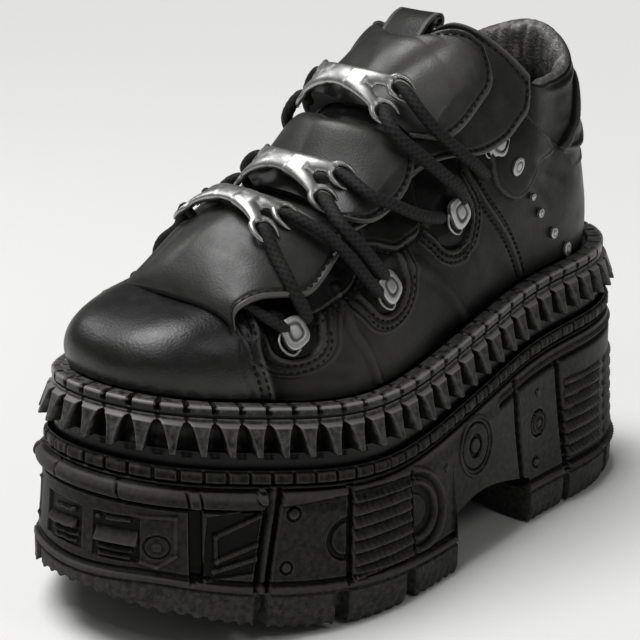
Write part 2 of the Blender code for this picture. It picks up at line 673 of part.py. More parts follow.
def build_bridge(name, row):
    """Cast bar with two hook rings at each end, bent over the tongue."""
    y, z, slope_deg, reach, bend_radius, ring_offset = row
    quarter = bridge_outline(reach, ring_offset)
    right = quarter + [(a, -b) for a, b in reversed(quarter[:-1])]
    left = [(-a, b) for a, b in reversed(right[1:-1])]
    flat = right + left
    curve = bpy.data.curves.new(name, "CURVE")
    curve.dimensions = "2D"
    curve.fill_mode = "BOTH"
    curve.extrude = BRIDGE_THICK / 2 * MM
    spline = curve.splines.new("POLY")
    spline.points.add(len(flat) - 1)
    for point, (a, b) in zip(spline.points, flat, strict=True):
        point.co = (a * MM, b * MM, 0.0, 1.0)
    spline.use_cyclic_u = True
    drawn = bpy.data.objects.new(name + "_flat", curve)
    CUTTERS.objects.link(drawn)
    graph = bpy.context.evaluated_depsgraph_get()
    mesh = bpy.data.meshes.new_from_object(drawn.evaluated_get(graph))
    bpy.data.objects.remove(drawn, do_unlink=True)
    work = bmesh.new()
    work.from_mesh(mesh)
    bmesh.ops.remove_doubles(work, verts=work.verts, dist=0.00001)
    for cut in np.linspace(-reach, reach, 6):
        geometry = work.verts[:] + work.edges[:] + work.faces[:]
        bmesh.ops.bisect_plane(work, geom=geometry, dist=1e-6, plane_co=(cut * MM, 0, 0),
                               plane_no=(1, 0, 0))
    slope = math.radians(slope_deg)
    along = Vector((0, math.cos(slope), math.sin(slope)))
    out = Vector((0, -math.sin(slope), math.cos(slope)))
    middle = Vector((0, y, z)) * MM + out * BRIDGE_THICK / 2 * MM
    radius = bend_radius * MM
    for vertex in work.verts:
        a, b, h = vertex.co
        angle = a / radius
        vertex.co = (middle + along * b + out * ((radius + h) * math.cos(angle) - radius)
                     + Vector((1, 0, 0)) * (radius + h) * math.sin(angle))
    bmesh.ops.recalc_face_normals(work, faces=work.faces)
    work.to_mesh(mesh)
    work.free()
    place(name, mesh, SILVER)


def button_mesh(name, size, height, sides, tip):
    """Domed button: a bevelled disc, drawn out to one side by tip, lying on z = 0."""
    work = bmesh.new()
    levels = ((1.0, 0.0), (1.0, 0.45), (0.62, 1.0))
    rings = []
    for scale, level in levels:
        ring = []
        for k in range(sides):
            angle = 2 * math.pi * k / sides
            x = size[0] * math.cos(angle) * scale
            y = size[1] * math.sin(angle) * scale
            y -= tip * max(0.0, -math.sin(angle)) ** 4 * scale
            ring.append(work.verts.new((x * MM, y * MM, height * level * MM)))
        rings.append(ring)
    for low, high in zip(rings, rings[1:]):
        for k in range(sides):
            work.faces.new((low[k], low[(k + 1) % sides], high[(k + 1) % sides], high[k]))
    work.faces.new(list(reversed(rings[0])))
    work.faces.new(rings[-1])
    mesh = bpy.data.meshes.new(name)
    work.to_mesh(mesh)
    work.free()
    return mesh


def set_on_upper(made, station, share, lift):
    """Turn a button to lie on the upper, its y axis up the wall."""
    turn = turn_of(station)
    normal = Vector(wall_normal(turn, np.array(share)))
    up = Vector(wall_point(turn, np.array(share + 0.01)) - wall_point(turn, np.array(share - 0.01)))
    side = up.cross(normal).normalized()
    up = normal.cross(side).normalized()
    spot = Vector(on_upper(station, share, np.array(lift)).tolist()) * MM
    turned = Matrix((side, up, normal)).transposed().to_4x4()
    made.matrix_local = Matrix.Translation(spot) @ turned


def both_sides(station):
    return (("lateral", station), ("medial", STATIONS - station))


def build_hardware():
    for number, (station, share) in enumerate(EYELETS, start=1):
        for side, place_at in both_sides(station):
            name = f"eyelet_{side}_{number}"
            made = place(name, button_mesh(name, (4.6, 5.0), 3.0, 12, 1.6), SILVER)
            set_on_upper(made, place_at, share, 1.0)
    for side, place_at in both_sides(TAB_STUD[0]):
        name = f"tab_stud_{side}"
        made = place(name, button_mesh(name, (3.2, 4.2), 1.8, 10, 0.0), SILVER)
        set_on_upper(made, place_at, TAB_STUD[1], 2.6)
    for number, (station, share, radius) in enumerate(HEEL_STUDS, start=1):
        for side, place_at in both_sides(station):
            name = f"heel_stud_{side}_{number}"
            made = place(name, button_mesh(name, (radius, radius), 1.6, 8, 0.0), SILVER)
            set_on_upper(made, place_at, share, 3.0 if number == 4 else 0.6)


# --- Laces ------------------------------------------------------------------------------------------
LACE_RADIUS = 2.6


def ring_centre(key, upper_ring, sign):
    """Centre of a bridge's ring, worked out from the bend as in build_bridge."""
    y, z, slope_deg, reach, bend_radius, ring_offset = BRIDGES[key]
    slope = math.radians(slope_deg)
    angle = reach / bend_radius
    b = ring_offset if upper_ring else -ring_offset
    drop = bend_radius * (math.cos(angle) - 1.0) + BRIDGE_THICK / 2
    return np.array([sign * bend_radius * math.sin(angle),
                     y + b * math.cos(slope) - drop * math.sin(slope),
                     z + b * math.sin(slope) + drop * math.cos(slope)])


# Bridge, whether its upper ring, eyelet, how far to the side of it, and how far the run bows out.
LACE_COLUMNS = ("bridge", "upper_ring", "eyelet", "aside", "bow")
LACE_RUNS = (("toe", False, 0, 0.0, 2.0), ("toe", True, 1, -0.2, 3.5), ("instep", False, 1, 0.2, 5.5),
             ("instep", True, 2, -0.2, 8.0), ("ankle", False, 2, 0.2, 3.0), ("ankle", True, 3, 0.0, 3.0))


def build_laces():
    """Straight runs between rings and eyelets; each stops short of both."""
    for side, sign in (("lateral", 1), ("medial", -1)):
        for number, (key, upper_ring, eyelet, aside, bow) in enumerate(LACE_RUNS, start=1):
            station, share = EYELETS[eyelet]
            place_at = station + aside if sign > 0 else STATIONS - station - aside
            start = ring_centre(key, upper_ring, sign)
            build_strand(f"lace_{side}_{number}", start, place_at, share + 0.05, bow)


def nearest_place(point):
    """Station, share and height off the upper's face of the spot right under a point."""
    stations = np.linspace(0.0, STATIONS, 261)[:, None]
    shares = np.linspace(0.0, 1.0, 81)[None, :]
    surface = wall_point(turn_of(stations) + 0 * shares, shares + 0 * stations)
    distance = np.linalg.norm(surface - point, axis=-1)
    row, column = np.unravel_index(np.argmin(distance), distance.shape)
    return stations[row, 0], shares[0, column], distance[row, column]


def build_strand(name, start, place_at, share, bow):
    """Tube from a ring to an eyelet, kept over the flaps by its height off the upper's face."""
    from_station, from_share, from_lift = nearest_place(start)
    run = np.linspace(0.22, 0.86, 4)
    stations = from_station + (place_at - from_station) * run
    shares = from_share + (share - from_share) * run
    lifts = from_lift + (7.0 - from_lift) * run + 4.0 * bow * run * (1.0 - run)
    points = on_upper(stations, shares, lifts)
    curve = bpy.data.curves.new(name, "CURVE")
    curve.dimensions = "3D"
    curve.bevel_depth = LACE_RADIUS * MM
    curve.bevel_resolution = 2
    curve.use_fill_caps = True
    spline = curve.splines.new("POLY")
    spline.points.add(len(points) - 1)
    for target, point in zip(spline.points, points, strict=True):
        target.co = (*(point * MM), 1.0)
    made = bpy.data.objects.new(name, curve)
    PARTS.objects.link(made)
    made.parent = BOOT
    curve.materials.append(material(name, BLACK_LACE))


start_clean()
PARTS = new_collection("platform_boot")
CUTTERS = new_collection("platform_boot_cutters")
BOOT = bpy.data.objects.new("platform_boot", None)
PARTS.objects.link(BOOT)
BOOT.location = (ORIGIN_SHIFT[0] * MM, ORIGIN_SHIFT[1] * MM, 0.0)
build_tread()
build_platform()
build_cog_band()
build_welt()
build_insole()
build_upper()
build_tongue()
build_flaps()
build_toe_flap()
build_pull_loop()
build_heel_counter()
build_collar_pad()
for bridge_name, bridge_row in BRIDGES.items():
    build_bridge(f"bridge_{bridge_name}", bridge_row)
build_hardware()
build_laces()
bpy.context.view_layer.update()
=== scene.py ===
"""Looks of the left platform boot.

A leather upper with three padded flaps is laced over metal bridges, on a tall moulded sole. Shape data are
in millimetres in the boot's own frame (toe to -Y, lateral side +X, floor at z = 0) and turned into metres of
the row frame when a mesh is made. A station counts round the upper: 0 at the toe, 13 at the back of the heel
on the lateral side, 26 minus that on the medial side. A share is the height up the upper's wall.
"""

import math

import bpy
import numpy as np
from mathutils import Matrix, Vector


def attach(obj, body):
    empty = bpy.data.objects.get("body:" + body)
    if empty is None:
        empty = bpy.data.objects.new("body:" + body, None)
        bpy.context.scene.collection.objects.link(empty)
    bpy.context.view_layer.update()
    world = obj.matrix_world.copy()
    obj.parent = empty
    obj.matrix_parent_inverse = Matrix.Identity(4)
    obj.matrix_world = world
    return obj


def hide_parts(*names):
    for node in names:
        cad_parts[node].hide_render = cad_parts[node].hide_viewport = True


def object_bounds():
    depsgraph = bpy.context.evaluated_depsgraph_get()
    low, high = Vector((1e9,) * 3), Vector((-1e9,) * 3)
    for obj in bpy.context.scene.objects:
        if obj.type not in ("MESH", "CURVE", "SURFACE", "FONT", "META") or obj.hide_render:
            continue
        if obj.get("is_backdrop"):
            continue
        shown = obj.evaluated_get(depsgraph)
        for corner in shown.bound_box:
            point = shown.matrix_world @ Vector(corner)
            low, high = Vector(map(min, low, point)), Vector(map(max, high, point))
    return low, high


MM = 0.001
ORIGIN_SHIFT = np.array([0.25, 3.0, 0.0])   # plan offset that puts the origin under the middle of the boot
STATIONS = 26
UP = np.array([0.0, 0.0, 1.0])
SIDES = ((1, "lateral"), (-1, "medial"))

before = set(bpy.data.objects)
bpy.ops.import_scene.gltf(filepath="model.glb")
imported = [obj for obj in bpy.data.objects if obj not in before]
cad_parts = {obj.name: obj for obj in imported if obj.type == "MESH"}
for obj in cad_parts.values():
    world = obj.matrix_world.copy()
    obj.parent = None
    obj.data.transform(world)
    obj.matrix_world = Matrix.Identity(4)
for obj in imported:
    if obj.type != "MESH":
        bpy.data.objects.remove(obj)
FRAME_LOW, FRAME_HIGH = (list(corner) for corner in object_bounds())

# --- Shape of the last ------------------------------------------------------------------------------
WELT_LEDGE = 8.0        # width of welt left bare outside the upper
WALL = 2.2              # thickness of the upper's leather with its lining
GAP = 0.3               # air kept between pieces that touch
EASE = 1.25             # air under a padded piece that lies on a curved one
THROAT_SINK = 8.2       # the tongue's middle lies this far below the line of the quarters
TOE_SPRING = 20.4       # rise of the tread at the tip of the toe
SPRING_START = -59.0    # the tread leaves the floor in front of this y
SPRING_RUN = 88.5
ARCH_FRONT = -11.5      # rear face of the forefoot block
ARCH_REAR = 47.0        # breast of the heel
FAR = 99.0              # stands for a distance that is too large to matter

# Last: a row for each station from the toe's tip along the lateral side to the back of the heel and home
# along the medial side. edge = welt edge in plan; top = crest or collar line; out/up low = how far the wall
# swells out and rises from the feather; out/down high = the same at the top; lip = share of the wall's
# height that the leather covers (the rest is throat).
LAST_COLUMNS = ("edge_x", "edge_y", "top_x", "top_y", "top_z",
                "out_low", "up_low", "out_high", "down_high", "lip")
LAST = np.array([
    (-7.0, -147.5, 0, -100, 122, 7, 16, 24, 0, 0.97),
    (14.5, -143.0, 3, -100, 122, 5, 16, 24, 0, 0.97),
    (30.0, -130.0, 4, -98, 123, 4, 16, 24, 0, 0.96),
    (44.0, -104.0, 3, -89, 128, 3, 19, 24, 0, 0.84),
    (53.5, -80.0, 1, -74, 138, 2, 22, 26, 0, 0.68),
    (57.0, -55.0, 0, -55, 153, 1, 24, 28, 0, 0.62),
    (54.5, -25.0, 0, -27, 175, 0, 30, 29, 0, 0.60),
    (51.0, 0.0, 0, -2, 194.5, -1, 36, 29, 0, 0.58),
    (47.5, 26.0, 9, 26, 204, -1, 38, 27, 2, 0.66),
    (44.0, 50.0, 35, 53, 191, -1, 38, 6, 30, 0.96),
    (42.0, 75.0, 32, 77, 182.5, 0, 30, 4, 30, 1.00),
    (39.5, 100.0, 27, 98, 185.5, 1, 30, 4, 34, 1.00),
    (27.0, 127.0, 14, 109, 195, 1.5, 34, 5, 38, 1.00),
    (1.5, 141.5, 0, 111, 199, 2.5, 36, 6, 40, 1.00),
    (-27.0, 127.0, -14, 109, 197, 1.5, 34, 5, 38, 1.00),
    (-38.0, 100.0, -27, 98, 192, 1, 30, 4, 34, 1.00),
    (-40.0, 75.0, -32, 77, 189.5, 0, 30, 4, 30, 1.00),
    (-40.0, 50.0, -35, 53, 193, -1, 38, 6, 30, 0.96),
    (-40.0, 26.0, -9, 26, 204, -1, 38, 27, 2, 0.66),
    (-42.5, 0.0, 0, -2, 194.5, -1, 36, 29, 0, 0.58),
    (-46.0, -25.0, 0, -27, 175, 0, 30, 29, 0, 0.60),
    (-52.0, -52.0, 0, -55, 153, 2, 24, 28, 0, 0.62),
    (-57.0, -80.0, -1, -74, 138, 4, 22, 26, 0, 0.68),
    (-56.0, -103.0, -3, -89, 128, 7, 19, 24, 0, 0.84),
    (-43.0, -127.0, -4, -98, 123, 9, 16, 24, 0, 0.96),
    (-29.0, -141.0, -3, -100, 122, 9, 16, 24, 0, 0.97),
], dtype=float)


def runs_along(line):
    """Distance from a line's start to each of its points."""
    return np.concatenate([[0.0], np.cumsum(np.linalg.norm(np.diff(line, axis=0), axis=1))])


def read_path(line, runs, places):
    """Points of a line at distances from its start."""
    return np.stack([np.interp(places, runs, line[:, k]) for k in range(3)], axis=-1)


def spline_slopes(knots, values, periodic=False):
    """Slopes of the cubic spline through values at knots, natural at the ends or closed on itself."""
    steps = np.diff(knots)
    rises = np.diff(values, axis=0) / steps[:, None]
    count = len(values) - 1 if periodic else len(values)
    matrix = np.zeros((count, count))
    right = np.zeros((count, values.shape[1]))
    for j in range(count):
        if not periodic and j in (0, count - 1):
            inner = 1 if j == 0 else count - 2
            matrix[j, j] = 2.0
            matrix[j, inner] = 1.0
            right[j] = 3.0 * rises[0 if j == 0 else -1]
            continue
        matrix[j, (j - 1) % count] += steps[j]
        matrix[j, j] += 2.0 * (steps[j - 1] + steps[j])
        matrix[j, (j + 1) % count] += steps[j - 1]
        right[j] = 3.0 * (steps[j] * rises[j - 1] + steps[j - 1] * rises[j])
    slopes = np.linalg.solve(matrix, right)
    return np.vstack([slopes, slopes[:1]]) if periodic else slopes


def spline_read(knots, values, slopes, places):
    """Cubic Hermite reading of a spline at any places."""
    places = np.asarray(places, dtype=float)
    piece = np.clip(np.searchsorted(knots, places, side="right") - 1, 0, len(knots) - 2)
    width = knots[piece + 1] - knots[piece]
    s = ((places - knots[piece]) / width)[..., None]
    width = width[..., None]
    return ((2 * s**3 - 3 * s**2 + 1) * values[piece] + (s**3 - 2 * s**2 + s) * width * slopes[piece]
            + (3 * s**2 - 2 * s**3) * values[piece + 1] + (s**3 - s**2) * width * slopes[piece + 1])


def read_table(knots, table, places):
    """Values at any places of the spline through a table's rows."""
    return spline_read(knots, table, spline_slopes(knots, table), places)


def height_line(*rows):
    """Function of y that gives the height of the spline through (y, height) rows."""
    y, heights = np.array(rows, dtype=float)[:, 0], np.array(rows, dtype=float)[:, 1:]
    return lambda places: read_table(y, heights, places)[..., 0]


welt_height = height_line((-147.5, 97.0), (-100, 89.0), (-40, 85.3), (45, 100.0), (135, 105.5))
arch_height = height_line((-12, 25.0), (4, 28.5), (28, 26.0), (47, 21.0))
ledge_height = height_line((-166, 28.0), (-157, 29.4), (-148, 30.0), (-137, 27.6), (-115, 21.7), (-83, 17.0),
                           (-45, 14.3), (-12, 13.6), (30, 15.0), (60, 15.0), (150, 15.0))

LOOP = np.vstack([LAST, LAST[:1]])
CHORDS = np.sqrt(np.linalg.norm(np.diff(LOOP[:, :2], axis=0), axis=1))
KNOTS = np.concatenate([[0.0], np.cumsum(CHORDS)]) / CHORDS.sum()
LAST_SLOPES = spline_slopes(KNOTS, LOOP, periodic=True)


def smooth_line(points, count):
    """Cubic spline through given points of any dimension, at even parameters."""
    points = np.asarray(points, dtype=float)
    knots = np.concatenate([[0.0], np.cumsum(np.linalg.norm(np.diff(points, axis=0), axis=1) ** 0.5)])
    return read_table(knots, points, np.linspace(0, knots[-1], count))


def lip_at(turn):
    """Share of the wall's height that the upper covers."""
    return np.interp(np.asarray(turn) % 1.0, KNOTS, LOOP[:, LAST_COLUMNS.index("lip")])


def turn_of(station):
    """Turn round the outline, 0 to 1, of a station."""
    return np.interp(np.asarray(station, dtype=float) % STATIONS, np.arange(STATIONS + 1), KNOTS)


def station_of(turn):
    return np.interp(np.asarray(turn) % 1.0, KNOTS, np.arange(STATIONS + 1))


def last_row(turn):
    """Row of the last at a turn."""
    return spline_read(KNOTS, LOOP, LAST_SLOPES, np.asarray(turn) % 1.0)


def toe_rise(y):
    """Parabola by which the tread and its ledge lift towards the toe."""
    return TOE_SPRING * np.clip((SPRING_START - y) / SPRING_RUN, 0.0, 1.2) ** 2


def edge_and_normal(turn):
    """Row of the last at a turn, and the outline's outward normal in plan."""
    small = 1e-4
    tangent = last_row(np.asarray(turn) + small)[..., :2] - last_row(np.asarray(turn) - small)[..., :2]
    tangent /= np.linalg.norm(tangent, axis=-1, keepdims=True)
    return last_row(turn), np.stack([tangent[..., 1], -tangent[..., 0]], axis=-1)


def outline(turn, outward):
    """Plan points at a distance outside the welt's edge."""
    row, normal = edge_and_normal(turn)
    return row[..., :2] + np.asarray(outward)[..., None] * normal


def wall_point(turn, share):
    """Point of the upper's outer face: a Bezier wall from the feather (share 0) to the top (share 1)."""
    row, normal = edge_and_normal(turn)
    flat = row[..., :2] - WELT_LEDGE * normal
    foot = np.concatenate([flat, (welt_height(row[..., 1]) + GAP + 0.1)[..., None]], axis=-1)
    out = np.concatenate([normal, np.zeros_like(normal[..., :1])], axis=-1)
    top = row[..., 2:5]
    low = foot + row[..., 5:6] * out + row[..., 6:7] * UP
    high = top + row[..., 7:8] * out - row[..., 8:9] * UP
    v = np.asarray(share, dtype=float)[..., None]
    return (1 - v)**3 * foot + 3 * (1 - v)**2 * v * low + 3 * (1 - v) * v**2 * high + v**3 * top


def wall_normal(turn, share):
    """Outward unit normal of the upper's face."""
    small = 1e-3
    share = np.asarray(share, dtype=float)
    along = wall_point(turn + small, share) - wall_point(turn - small, share)
    upward = wall_point(turn, np.minimum(share + small, 1.0)) - wall_point(turn, share - small)
    normal = np.cross(along, upward)
    return normal / np.maximum(np.linalg.norm(normal, axis=-1, keepdims=True), 1e-9)


def on_upper(station, share, lift):
    """Point lifted off the upper's face."""
    station, share, lift = (a.astype(float) for a in np.broadcast_arrays(station, share, lift))
    turn = turn_of(station)
    return wall_point(turn, share) + lift[..., None] * wall_normal(turn, share)


def mirrored(station, side):
    """Station on the lateral (side 1) or the medial side (side -1)."""
    return np.where(np.asarray(side) >= 0, station, STATIONS - np.asarray(station))


# --- Small mathematics ------------------------------------------------------------------------------
def step_up(x, soft):
    """Smooth step from 0 to 1 centred on x = 0, about 2 * soft wide."""
    t = np.clip(x / (2 * soft) + 0.5, 0.0, 1.0)
    return t * t * (3 - 2 * t)


def bump_at(x, width):
    """Round bump 1 high at x = 0 that reaches 0 at the distance width."""
    return np.clip(1.0 - (x / width) ** 2, 0.0, 1.0) ** 2


def within(x, low, high, soft=0.4):
    """Smooth window: 1 between low and high, 0 outside."""
    return step_up(x - low, soft) * step_up(high - x, soft)


def lattice(ix, iy, iz, seed):
    """Repeatable number from 0 to 1 for each whole-number place."""
    mixed = np.sin(ix * 127.1 + iy * 311.7 + iz * 74.7 + seed * 53.3) * 43758.5453
    return mixed - np.floor(mixed)


def soft_noise(points, size, seed):
    """Smooth unevenness from -1 to 1: values on a lattice of the given spacing, blended between."""
    p = points / size
    base = np.floor(p)
    f = p - base
    f = f * f * (3 - 2 * f)
    total = 0.0
    for corner in np.ndindex(2, 2, 2):
        weight = np.abs(1 - np.array(corner) - f)
        place = base + corner
        total = total + weight.prod(-1) * lattice(place[..., 0], place[..., 1], place[..., 2], seed)
    return 2 * total - 1


def distance_to_line(points, line):
    """Distance of each point to a polyline and the share of its length at the nearest place."""
    best = np.full(len(points), 1e9)
    where = np.zeros(len(points))
    runs = runs_along(line)
    for k in range(len(line) - 1):
        step = line[k + 1] - line[k]
        t = np.clip(((points - line[k]) @ step) / max(step @ step, 1e-12), 0.0, 1.0)
        gap = np.linalg.norm(points - line[k] - t[:, None] * step, axis=1)
        closer = gap < best
        best = np.where(closer, gap, best)
        where = np.where(closer, (runs[k] + t * (runs[k + 1] - runs[k])) / runs[-1], where)
    return best, where


def inside(places, polygon):
    """True where a 2-D place lies inside a closed polygon, by counting crossings."""
    x, y = places[..., 0], places[..., 1]
    found = np.zeros(x.shape, dtype=bool)
    for (x0, y0), (x1, y1) in zip(polygon, np.roll(polygon, -1, axis=0)):
        crosses = (y0 > y) != (y1 > y)
        found ^= crosses & (x < (x1 - x0) * (y - y0) / (y1 - y0 + 1e-12) + x0)
    return found


def unit(vectors):
    return vectors / np.maximum(np.linalg.norm(vectors, axis=-1, keepdims=True), 1e-9)


def outward_normals(points):
    """Unit normals of a sheet's grid of points, on the side where the sheet is seen."""
    return -unit(np.cross(np.gradient(points, axis=1), np.gradient(points, axis=0)))


# --- Mesh helpers -----------------------------------------------------------------------------------
def grid(points, wrap_columns=False, flip=False):
    """(points, quads) of a grid of rows by columns, whose columns may close on themselves."""
    rows, columns = points.shape[:2]
    r = np.arange(rows - 1)[:, None]
    c = np.arange(columns if wrap_columns else columns - 1)[None, :]
    c1 = (c + 1) % columns
    here, below = r * columns, (r + 1) * columns
    faces = np.stack([here + c, here + c1, below + c1, below + c], axis=-1).reshape(-1, 4)
    return points.reshape(-1, 3), faces[:, ::-1] if flip else faces


def shell(under, over):
    """Closed skin between two equal grids, under facing in and over facing out."""
    rows, columns = over.shape[:2]
    points = np.concatenate([over.reshape(-1, 3), under.reshape(-1, 3)])
    top = grid(over)[1]
    count = rows * columns
    ids = np.arange(count).reshape(rows, columns)
    rim = np.concatenate([ids[0, :], ids[1:, -1], ids[-1, -2::-1], ids[-2:0:-1, 0]])
    nxt = np.roll(rim, -1)
    sides = np.stack([nxt, rim, rim + count, nxt + count], axis=-1)
    return points, np.concatenate([top, top[:, ::-1] + count, sides])


def edge_wear(field, gain):
    """How far each place of a grid stands over its neighbours: 0 in corners, 0.5 on plain faces, 1 on edges; used
    as painted shade in corners and painted highlights on edges.
    """
    wide = np.pad(field, 1, mode="edge")
    middle, ends = slice(1, -1), (slice(2, None), slice(None, -2))
    around = sum(wide[end, middle] + wide[middle, end] for end in ends) / 4
    return np.clip(0.5 + gain * (field - around), 0.0, 1.0)


def joined(parts):
    """One (points, faces) from several."""
    starts = np.cumsum([0] + [len(points) for points, _ in parts[:-1]])
    return (np.concatenate([points for points, _ in parts]),
            np.concatenate([faces + start for (_, faces), start in zip(parts, starts)]))


def piece(name, parts, look, slot_name, stands_for=(), angle=50.0, painted_light_and_groove_dark=None, polish=None):
    """One object of several (points, faces) parts in millimetres; it rides on the boot."""
    points, faces = joined(parts)
    mesh = bpy.data.meshes.new(name)
    mesh.vertices.add(len(points))
    mesh.vertices.foreach_set("co", ((points + ORIGIN_SHIFT) * MM).astype(np.float32).ravel())
    mesh.loops.add(faces.size)
    mesh.loops.foreach_set("vertex_index", faces.astype(np.int32).ravel())
    mesh.polygons.add(len(faces))
    mesh.polygons.foreach_set("loop_start", (np.arange(len(faces)) * faces.shape[1]).astype(np.int32))
    mesh.update(calc_edges=True)
    mesh.validate()
    # Each point carries a painted light value: 0 painted shade, 0.5 plain, 1 painted highlight; on the tags and
    # studs it darkens their grooves.
    for attribute, given, otherwise in (("painted_light_and_groove_dark", painted_light_and_groove_dark, 0.5), ("polish", polish, 0.0)):
        if given is None and attribute == "polish":
            continue
        values = np.full(len(points), otherwise, dtype=np.float32)
        if given is not None:
            values[: given.size] = given.ravel()
        mesh.attributes.new(attribute, "FLOAT", "POINT").data.foreach_set("value", values)
    mesh.shade_smooth()
    mesh.set_sharp_from_angle(angle=math.radians(angle))
    made = bpy.data.objects.new(name, mesh)
    bpy.context.scene.collection.objects.link(made)
    mesh.materials.append(look)
    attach(made, "root")
    if stands_for:
        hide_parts(*stands_for)
    return made


def tube(line, radius, sides, flat=1.0, facing=None):
    """Round or flattened tube along a path: radius may change along it, flat shrinks it towards facing."""
    line = np.asarray(line, dtype=float)
    tangent = unit(np.gradient(line, axis=0))
    if facing is None:
        facing = np.empty_like(line)
        facing[0] = UP if abs(tangent[0, 2]) < 0.9 else (1.0, 0.0, 0.0)
        for k in range(1, len(line)):
            facing[k] = facing[k - 1] - (facing[k - 1] @ tangent[k]) * tangent[k]
            facing[k] /= np.linalg.norm(facing[k])
    out = unit(facing - (facing * tangent).sum(1, keepdims=True) * tangent)
    side = np.cross(tangent, out)
    turns = np.linspace(0, 2 * np.pi, sides, endpoint=False)[None, :, None]
    radius = np.broadcast_to(np.asarray(radius, dtype=float), (len(line),))[:, None, None]
    ring = np.cos(turns) * out[:, None, :] * flat + np.sin(turns) * side[:, None, :]
    # Each end is rounded by three rings: how far out they stand and how wide they are, in radii.
    cap_rings = ((0.55, 0.82), (0.9, 0.42), (1.0, 0.02))
    first, last = ([line[end] + radius[end] * (ring[end] * wide + way * lift * tangent[end] * flat)
                    for lift, wide in cap_rings] for end, way in ((0, -1.0), (-1, 1.0)))
    points = np.concatenate([np.array(first[::-1]), line[:, None, :] + radius * ring, np.array(last)])
    return grid(points, wrap_columns=True, flip=True)


def stitches(path, normals, pitch, length, radius):
    """Row of thread stitches: each a short capsule whose ends dip into the leather."""
    runs = runs_along(path)
    middle = pitch * (np.arange(int(runs[-1] / pitch)) + 0.5)
    start, middle, end = (read_path(path, runs, middle + place * length / 2) for place in (-1, 0, 1))
    along = unit(end - start)
    out = normals[np.argmin(np.linalg.norm(path[None, :, :] - middle[:, None, :], axis=-1), axis=1)]
    side = unit(np.cross(along, out))
    middle, along, out, side = (a[:, None, None, :] for a in (middle, along, out, side))
    t = np.linspace(-1, 1, 5)[None, :, None, None]
    angle = np.linspace(0, 2 * np.pi, 5, endpoint=False)[None, None, :, None]
    fat = radius * np.sqrt(np.clip(1 - 0.92 * t**4, 0, 1))
    centre = middle + along * t * length / 2 + out * (0.15 - 0.35 * t**4)
    points = centre + fat * (np.cos(angle) * out * 0.8 + np.sin(angle) * side)
    return joined([grid(stitch, wrap_columns=True) for stitch in points])


# --- Sole -------------------------------------------------------------------------------------------
FINE = np.linspace(0.0, 1.0, 2881)
ARC = runs_along(outline(FINE, np.zeros_like(FINE)))    # arc length along the welt's edge for the fine turns
TOE_ARC = 6.5           # arc length at the tip of the toe, measured from station 0
HEEL_ARC = float(np.interp(turn_of(STATIONS / 2), FINE, ARC))
TOOTH_COUNT = 66
TOOTH_PITCH = ARC[-1] / TOOTH_COUNT
TOOTH_PHASE = 62.87     # arc length at the middle of one gap between teeth
TOE_PATTERN = 30.0      # the relief runs unmirrored across the toe this far to each side
SIDE_OUT = 8.0          # where the sole's side stands outside the welt's edge, on average


def even_turns(count):
    """Turns evenly spaced along the outline."""
    return np.interp(np.arange(count) / count * ARC[-1], ARC, FINE)


def turns_at(y):
    """The lateral and the medial turn at which the sole's side crosses y."""
    line = outline(FINE, np.full_like(FINE, SIDE_OUT))[:, 1]
    half = int(np.argmax(line))
    return float(np.interp(y, line[:half], FINE[:half])), float(np.interp(-y, -line[half:], FINE[half:]))


def block_turns(y, front, lateral_count, medial_count):
    """Turns in order round the part of the sole in front of y, or behind it."""
    lateral, medial = turns_at(y)
    if front:
        return np.concatenate([np.linspace(medial - 1.0, 0.0, medial_count),
                               np.linspace(0.0, lateral, lateral_count)[1:]])
    return np.concatenate([np.linspace(lateral, 0.5, lateral_count), np.linspace(0.5, medial, medial_count)[1:]])


def run_from_toe(turn):
    """Distance round the sole from the tip of the toe, alike on both sides, and signed near the toe.

    The second value is negative on the medial side of the toe, where the relief isn't mirrored.
    """
    arc = np.interp(turn, FINE, ARC)
    lateral = (arc >= TOE_ARC) & (arc <= HEEL_ARC)
    lateral_length = HEEL_ARC - TOE_ARC
    back = np.mod(TOE_ARC - arc, ARC[-1]) * lateral_length / (ARC[-1] - lateral_length)
    run = np.where(lateral, arc - TOE_ARC, back)
    return run, np.where((run < TOE_PATTERN) & ~lateral, -run, run)


def tooth_turns(places):
    """Turns at places of the teeth's pitch, counted in pitches from the first gap's middle."""
    return np.interp(np.mod(TOOTH_PHASE + TOOTH_PITCH * places, ARC[-1]), ARC, FINE)


def ring_points(turn, outward, height):
    """Points at turns, distances outside the welt's edge and heights, broadcast together."""
    turn, outward, height = np.broadcast_arrays(turn, outward, height)
    row, normal = edge_and_normal(turn)
    return np.concatenate([row[..., :2] + outward[..., None] * normal, height[..., None]], axis=-1)


def height_of_edge(turn, outward):
    """Height of the welt's top over the points at a distance outside its edge."""
    return welt_height(outline(turn, np.broadcast_to(outward, np.shape(turn)))[..., 1])


def between(profile):
    """A listed profile with one more point in the middle of each straight stretch."""
    t = np.linspace(0, len(profile) - 1, 2 * len(profile) - 1)
    return np.stack([np.interp(t, np.arange(len(profile)), column) for column in profile.T], -1)


